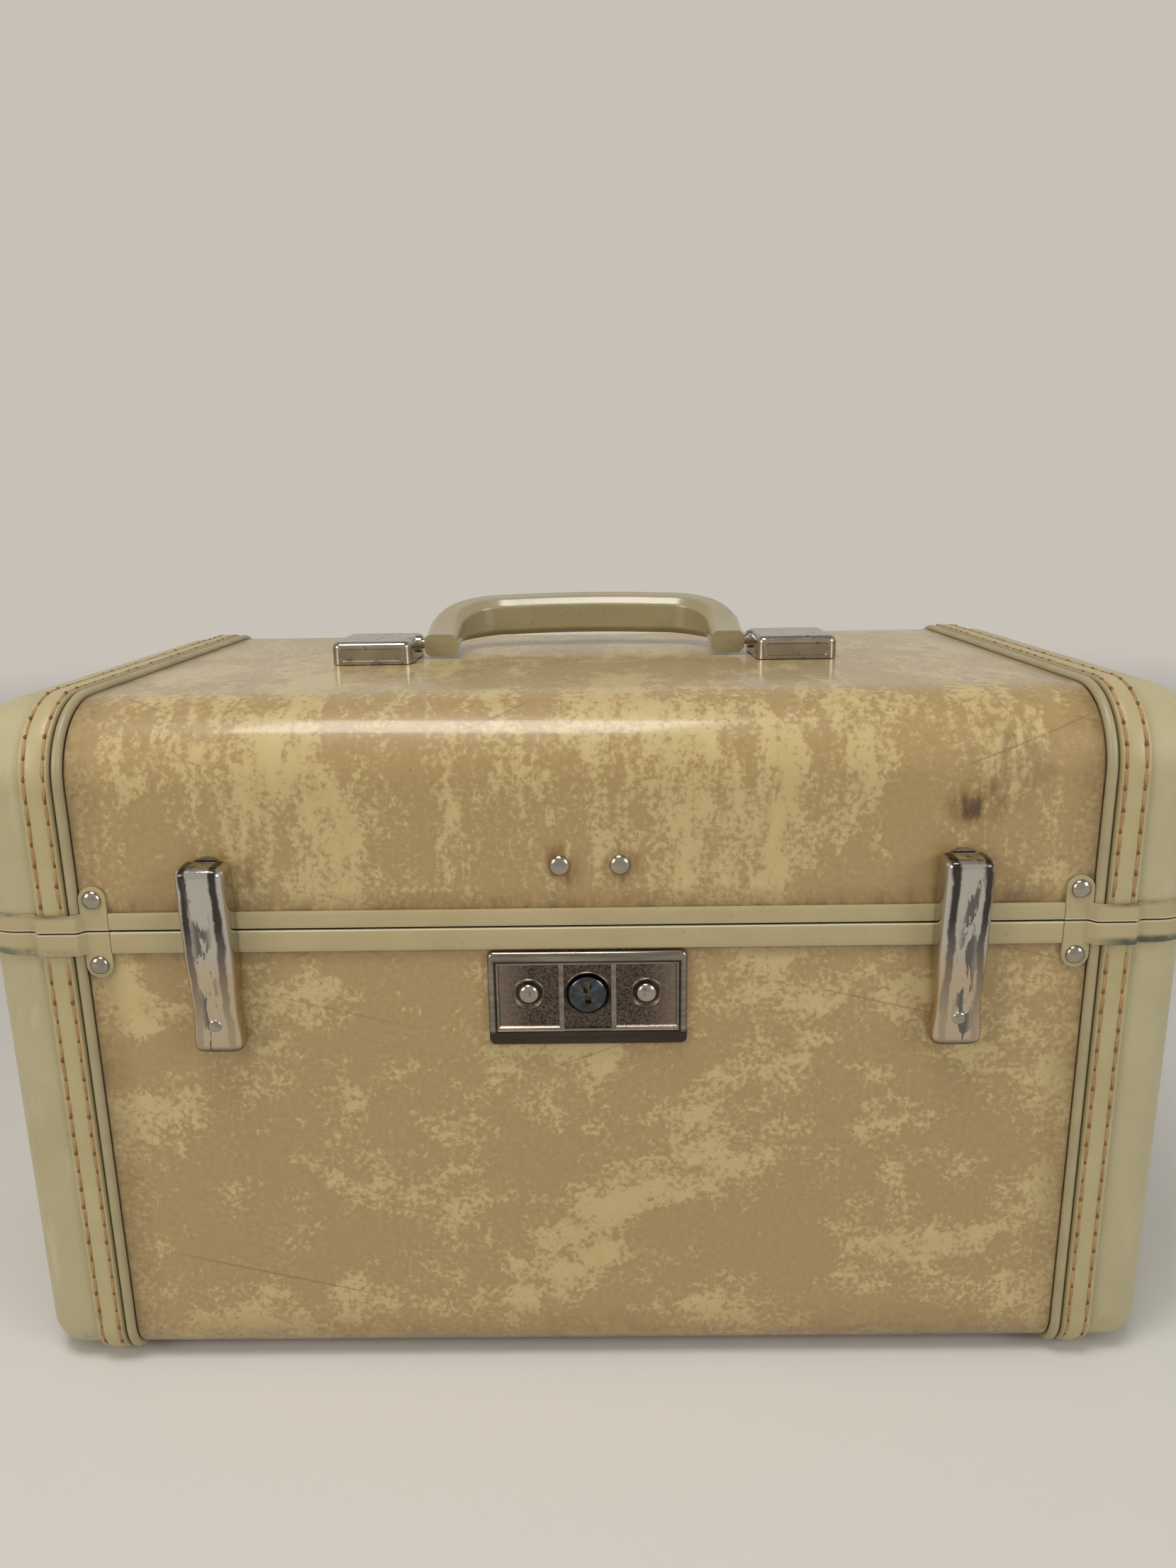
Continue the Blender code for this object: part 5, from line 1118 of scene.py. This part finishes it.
# Bare grey spots, only within 3 mm of the middle line, longer than they are wide.
near = off_by(tree, across, 0.8 * MM)
near = add(tree, "MapRange", {"Value": near, "From Min": 3.6 * MM, "From Max": 1.2 * MM})
bare = add(
    tree, "MapRange", {"Value": spot, "From Min": 0.53, "From Max": 0.57}, interpolation_type="SMOOTHSTEP"
)
bare = add(tree, "Math", {0: bare, 1: near}, operation="MULTIPLY")
colour = add(tree, "Mix", {0: bare, 6: colour, 7: linear("74706A")}, data_type="RGBA")
gloss = add(tree, "MapRange", {"Value": bare, "To Min": 0.14, "To Max": 0.5})
bump = add(tree, "Bump", {"Height": cloud, "Strength": 0.35, "Distance": 0.4 * MM})
feed(tree, shader, {"Base Color": colour, "Roughness": gloss, "Normal": bump, "Metallic": 1.0})


def bar_across(shape, x_limits, y, z, radius, steps=20):
    """Add a round bar along x to a mesh."""
    turns = [math.tau * step / steps for step in range(steps)]
    round_line = [(y + radius * math.cos(turn), z + radius * math.sin(turn)) for turn in turns]
    loft(shape, [[shape.verts.new((x, *spot)) for spot in round_line] for x in x_limits])


def blend_step(value, low, high):
    """0 below low and 1 above high, smooth between."""
    share = min(max((value - low) / (high - low), 0), 1)
    return share * share * (3 - 2 * share)


LATCH_ROUND = 2.6 * MM
LATCH_BACK = 2.0 * MM
LATCH_TOP_OUT = 10.55 * MM
LATCH_FOOT_OUT = 6.7 * MM
LATCH_PIN_Z = 126.0 * MM
LATCH_PIN_Y = -103.9 * MM


def shell_out(z):
    """How far the middle of the shell's face stands off the cloth at height z."""
    share = (z - LATCH_FOOT) / (LATCH_TOP - LATCH_FOOT)
    lean = LATCH_FOOT_OUT + (LATCH_TOP_OUT - LATCH_FOOT_OUT) * share
    return lean + 0.5 * MM * (1 - blend_step(share, 0.03, 0.2))


def shell_half(z):
    """Half the width of the shell at height z, with its waist above the flared foot."""
    share = (z - LATCH_FOOT) / (LATCH_TOP - LATCH_FOOT)
    waist = blend_step(share, 0.06, 0.2) * (1 - blend_step(share, 0.26, 0.5))
    return 7.5 * MM - 0.55 * MM * waist


def shell_rows():
    """Heights of the shell's rows with how far each is drawn in at the rounded foot and top."""
    rows = []
    for step in range(7):
        angle = math.radians(90 * step / 6)
        rows.append((LATCH_FOOT + LATCH_ROUND * (1 - math.cos(angle)), LATCH_ROUND * (1 - math.sin(angle))))
    rise = LATCH_TOP - LATCH_FOOT - 2 * LATCH_ROUND
    rows += [(LATCH_FOOT + LATCH_ROUND + rise * step / 18, 0.0) for step in range(1, 18)]
    for step in range(7):
        angle = math.radians(90 * (1 - step / 6))
        rows.append((LATCH_TOP - LATCH_ROUND * (1 - math.cos(angle)), LATCH_ROUND * (1 - math.sin(angle))))
    return rows


for name, side in SIDES:
    centre = side * LATCH_X
    shape = bmesh.new()
    rings = []
    for z, drawn in shell_rows():
        half = shell_half(z) - drawn
        depth = shell_out(z) - LATCH_BACK - drawn
        ring = []
        for step in range(33):
            angle = math.pi * step / 32
            across = math.copysign(abs(math.cos(angle)) ** (2 / 4.6), math.cos(angle))
            up = abs(math.sin(angle)) ** (2 / 4.6)
            ring.append(shape.verts.new((centre + half * across, -CLOTH_OUT - LATCH_BACK - depth * up, z)))
        rings.append(ring)
    for ring, after in zip(rings, rings[1:]):
        for number in range(32):
            shape.faces.new((ring[number], ring[number + 1], after[number + 1], after[number]))
    shape.faces.new(rings[0])
    shape.faces.new(list(reversed(rings[-1])))
    bmesh.ops.recalc_face_normals(shape, faces=shape.faces)
    if next(face for face in shape.faces if len(face.verts) > 4).normal.z > 0:
        bmesh.ops.reverse_faces(shape, faces=shape.faces)
    shell_piece = link_mesh(f"latch_{name}_blank", shape, latch_nickel)
    give_wall(shell_piece, 0.9 * MM, False)
    shell_piece = settle(shell_piece, f"latch_shell_{name}")
    shell_piece.data.name = shell_piece.name
    inner = bmesh.new()
    inner.from_mesh(shell_piece.data)
    bar_across(inner, (centre - 6.5 * MM, centre + 6.5 * MM), LATCH_PIN_Y, LATCH_PIN_Z, 1.0 * MM)
    lip = slab(
        (centre - 4.8 * MM, centre + 4.8 * MM),
        (LATCH_TOP - 2.6 * MM, LATCH_TOP - 0.5 * MM),
        -CLOTH_OUT - 2.8 * MM,
        -CLOTH_OUT - LATCH_BACK,
    )
    lip_mesh = bpy.data.meshes.new("hook_lip")
    lip.to_mesh(lip_mesh)
    lip.free()
    inner.from_mesh(lip_mesh)
    bpy.data.meshes.remove(lip_mesh)
    inner.to_mesh(shell_piece.data)
    inner.free()
    shell_piece.data.shade_smooth()
    shell_piece.data.set_sharp_from_angle(angle=math.radians(48))
    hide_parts("latch_lever_" + name)
    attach(shell_piece, f"latch_{name}_lever")
    spot = (centre, shell_out(LATCH_PIN_Z) - 0.15 * MM, LATCH_PIN_Z)
    piece = rivets(f"latch_face_rivet_{name}", [spot], -1, 3.9 * MM, 0.8 * MM, 1.2 * MM, 1.0 * MM, nickel)
    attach(piece, f"latch_{name}_lever")
    dress(nickel, "strike_" + name, "latch_link_" + name, "latch_plate_" + name)
    for node in ("strike_" + name, "latch_plate_" + name):
        soften(nodes[node], 0.18 * MM)

# The hinges: two stamped nickel butts at the back, each leaf held by two domed rivets.
dress(nickel, "hinge_pin_left", "hinge_pin_right")
for body, _ in HALVES:
    for name, side in SIDES:
        leaf = f"{body}_hinge_leaf_{name}"
        dress(nickel, leaf)
        soften(nodes[leaf], 0.25 * MM, 2)
        low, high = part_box(leaf)
        if body == "base":
            height = low.z + 7.0 * MM
        else:
            height = high.z - 7.0 * MM
        middle = (low.x + high.x) / 2
        spots = [(middle + reach, 1.4 * MM, height) for reach in (-10.5 * MM, 10.5 * MM)]
        piece = rivets(f"{leaf}_heads", spots, 1, 4.8 * MM, 1.1 * MM, 1.2 * MM, 1.2 * MM, nickel)
        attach(piece, body)

# The handle boxes: drawn nickel caps riveted to the lid's top, each with a sunk panel in its front and a
# steel pin that carries one end of the handle.
CAP_X = (61.8 * MM, 90.3 * MM)
PIN_X = (52.7 * MM, 63.0 * MM)
COLLAR_X = (60.4 * MM, 62.4 * MM)
HANDLE_PIVOT = Vector((0, 0.5 * MM, 227.1 * MM))
for name, side in SIDES:
    low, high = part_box("handle_box_" + name)
    x_limits = sorted(side * x for x in CAP_X)
    shape = slab(x_limits, (low.z, high.z), high.y, low.y)
    round_off(shape, lambda one, two: abs(one.z - two.z) > MM, 3.0 * MM, 6)
    round_off(shape, lambda one, two: max(abs(one.z - high.z), abs(two.z - high.z)) < HAIR, 2.2 * MM, 6)
    cap = link_mesh(f"handle_cap_blank_{name}", shape, nickel)
    panel = slab(
        (x_limits[0] + 2.7 * MM, x_limits[1] - 2.7 * MM),
        (low.z + 1.0 * MM, high.z - 2.2 * MM),
        low.y - 0.5 * MM,
        low.y + 0.5 * MM,
        (0.5 * MM, 0.5 * MM, 0.3 * MM, 0.5 * MM),
    )
    round_off(panel, lambda one, two: abs(one.y - two.y) > 0.5 * MM, 1.2 * MM, 4)
    tools = [merge(cap, panel, "DIFFERENCE")]
    cap = fix(cap, f"handle_cap_{name}", tools)
    pinned = bmesh.new()
    pinned.from_mesh(cap.data)
    for span, radius, steps in ((PIN_X, 1.8 * MM, 24), (COLLAR_X, 3.2 * MM, 28)):
        bar_across(pinned, sorted(side * x for x in span), HANDLE_PIVOT.y, HANDLE_PIVOT.z, radius, steps)
    pinned.to_mesh(cap.data)
    pinned.free()
    cap.data.shade_smooth()
    soften(cap, 0.22 * MM, 2, 35)
    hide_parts("handle_box_" + name)
    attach(cap, "lid")

# The handle: one moulding of glossy olive-beige plastic, deep in the grip, with flat-cut arms that narrow
# towards the pins and a chamfer along every edge.
plastic, tree, shader, place = new_finish("glossy_moulded_plastic")
cloud = add(tree, "TexNoise", {"Vector": place, "Scale": 35.0, "Detail": 4.0, "Roughness": 0.6})
fleck = add(tree, "TexNoise", {"Vector": place, "Scale": 340.0, "Detail": 3.0, "Roughness": 0.7})
colour = add(tree, "Mix", {0: cloud, 6: linear("8C8262"), 7: linear("A89E7C")}, data_type="RGBA")
colour = lay(tree, colour, fleck, 0.6, 0.72, 0.4, "6F6647")
bump = add(tree, "Bump", {"Height": cloud, "Strength": 0.4, "Distance": 0.5 * MM})
feed(
    tree,
    shader,
    {"Base Color": colour, "Normal": bump, "Roughness": 0.24, "Coat Weight": 0.4, "Coat Roughness": 0.12},
)
BORE_X = (52.2 * MM, 61.0 * MM)
HANDLE_HALF = 53.0 * MM
HANDLE_REACH = 39.5 * MM
HANDLE_CORNER = 23.0 * MM
HANDLE_TILT = math.radians(10.0)
reach_way = Vector((0, math.cos(HANDLE_TILT), math.sin(HANDLE_TILT)))
rise_way = Vector((0, -math.sin(HANDLE_TILT), math.cos(HANDLE_TILT)))
path = []
arm = HANDLE_REACH - HANDLE_CORNER
for step in range(9):
    path.append((-HANDLE_HALF, -3.2 * MM + (arm + 3.2 * MM) * step / 8))
for step in range(1, 17):
    angle = math.radians(180 - 90 * step / 16)
    x = HANDLE_CORNER * (1 + math.cos(angle)) - HANDLE_HALF
    path.append((x, arm + HANDLE_CORNER * math.sin(angle)))
straight = HANDLE_HALF - HANDLE_CORNER
for step in range(1, 13):
    x = -straight + straight * step / 12
    path.append((x, HANDLE_REACH + 2.4 * MM * (1 - (x / straight) ** 2)))
path += [(-x, reach) for x, reach in reversed(path[:-1])]
shape = bmesh.new()
rings = []
for number, (x, reach) in enumerate(path):
    before = path[max(number - 1, 0)]
    after = path[min(number + 1, len(path) - 1)]
    way = Vector((after[0] - before[0], after[1] - before[1])).normalized()
    normal = Vector((-way.y, way.x))
    grow = blend_step(reach, 2 * MM, HANDLE_REACH)
    wide = (12.3 * MM + 0.1 * MM * grow) / 2
    tall = (8.4 * MM + (15.0 - 8.4) * MM * grow) / 2
    chamfer = 0.45 * min(wide, tall)
    corners = [
        (wide, tall - chamfer), (wide - chamfer, tall), (-wide + chamfer, tall), (-wide, tall - chamfer),
        (-wide, -tall + chamfer), (-wide + chamfer, -tall), (wide - chamfer, -tall), (wide, -tall + chamfer),
    ]
    ring = []
    for place, corner in enumerate(corners):
        last = Vector(corners[place - 1])
        here = Vector(corner)
        following = Vector(corners[(place + 1) % 8])
        ease = 0.7 * MM
        start = here + (last - here).normalized() * ease
        end = here + (following - here).normalized() * ease
        middle = (start + end) / 2 * 0.45 + here * 0.55
        for flat in (start, middle, end):
            point = HANDLE_PIVOT + Vector((x + normal.x * flat.x, 0, 0))
            point += reach_way * (reach + normal.y * flat.x) + rise_way * flat.y
            ring.append(shape.verts.new(point))
    rings.append(ring)
loft(shape, rings)
handle = link_mesh("handle_blank", shape, plastic)
tools = []
for _, side in SIDES:
    bore = bmesh.new()
    bar_across(bore, sorted(side * x for x in BORE_X), HANDLE_PIVOT.y, HANDLE_PIVOT.z, 2.1 * MM, 24)
    tools.append(merge(handle, bore, "DIFFERENCE"))
handle = fix(handle, "moulded_handle", tools)
handle.data.set_sharp_from_angle(angle=math.radians(50))
soften(handle, 0.35 * MM, 3, 55)
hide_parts("handle")
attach(handle, "handle")

# The linings: a gold-brown rayon twill, glued over the wood inside both halves, with a fine ribbed weave.
lining, tree, shader, place = new_finish("rayon_twill_lining")
slant = add(tree, "Mapping", {"Vector": place, "Rotation": (0.4, 0.5, math.radians(35))})
rib = add(tree, "TexWave", {"Vector": slant, "Scale": 330.0, "Distortion": 0.5}, bands_direction="DIAGONAL")
cloud = add(tree, "TexNoise", {"Vector": place, "Scale": 14.0, "Detail": 4.0, "Roughness": 0.6})
tone = add(tree, "Mix", {0: cloud, 6: linear("8A6A45"), 7: linear("A8865C")}, data_type="RGBA")
colour = add(tree, "Mix", {0: rib.outputs["Fac"], 6: tone, 7: linear("B5946A")}, data_type="RGBA")
bump = add(tree, "Bump", {"Height": rib.outputs["Fac"], "Strength": 0.5, "Distance": 0.1 * MM})
feed(tree, shader, {"Base Color": colour, "Normal": bump, "Roughness": 0.62, "Sheen Weight": 0.4})
dress(lining, "base_lining", "lid_lining")

# The mirror: silvered glass with a few age spots near its edge, in a pressed painted frame under the lid.
glass, tree, shader, place = new_finish("silvered_mirror_glass")
age = add(tree, "TexNoise", {"Vector": place, "Scale": 120.0, "Detail": 5.0, "Roughness": 0.7})
spot = add(tree, "MapRange", {"Value": age, "From Min": 0.68, "From Max": 0.73, "To Max": 0.8})
colour = add(tree, "Mix", {0: spot, 6: linear("E4E8E8"), 7: linear("4C4A44")}, data_type="RGBA")
feed(tree, shader, {"Base Color": colour, "Metallic": 1.0, "Roughness": 0.03})
dress(glass, "mirror")
dress(painted_steel, "mirror_frame")
soften(nodes["mirror_frame"], 0.4 * MM, 3)
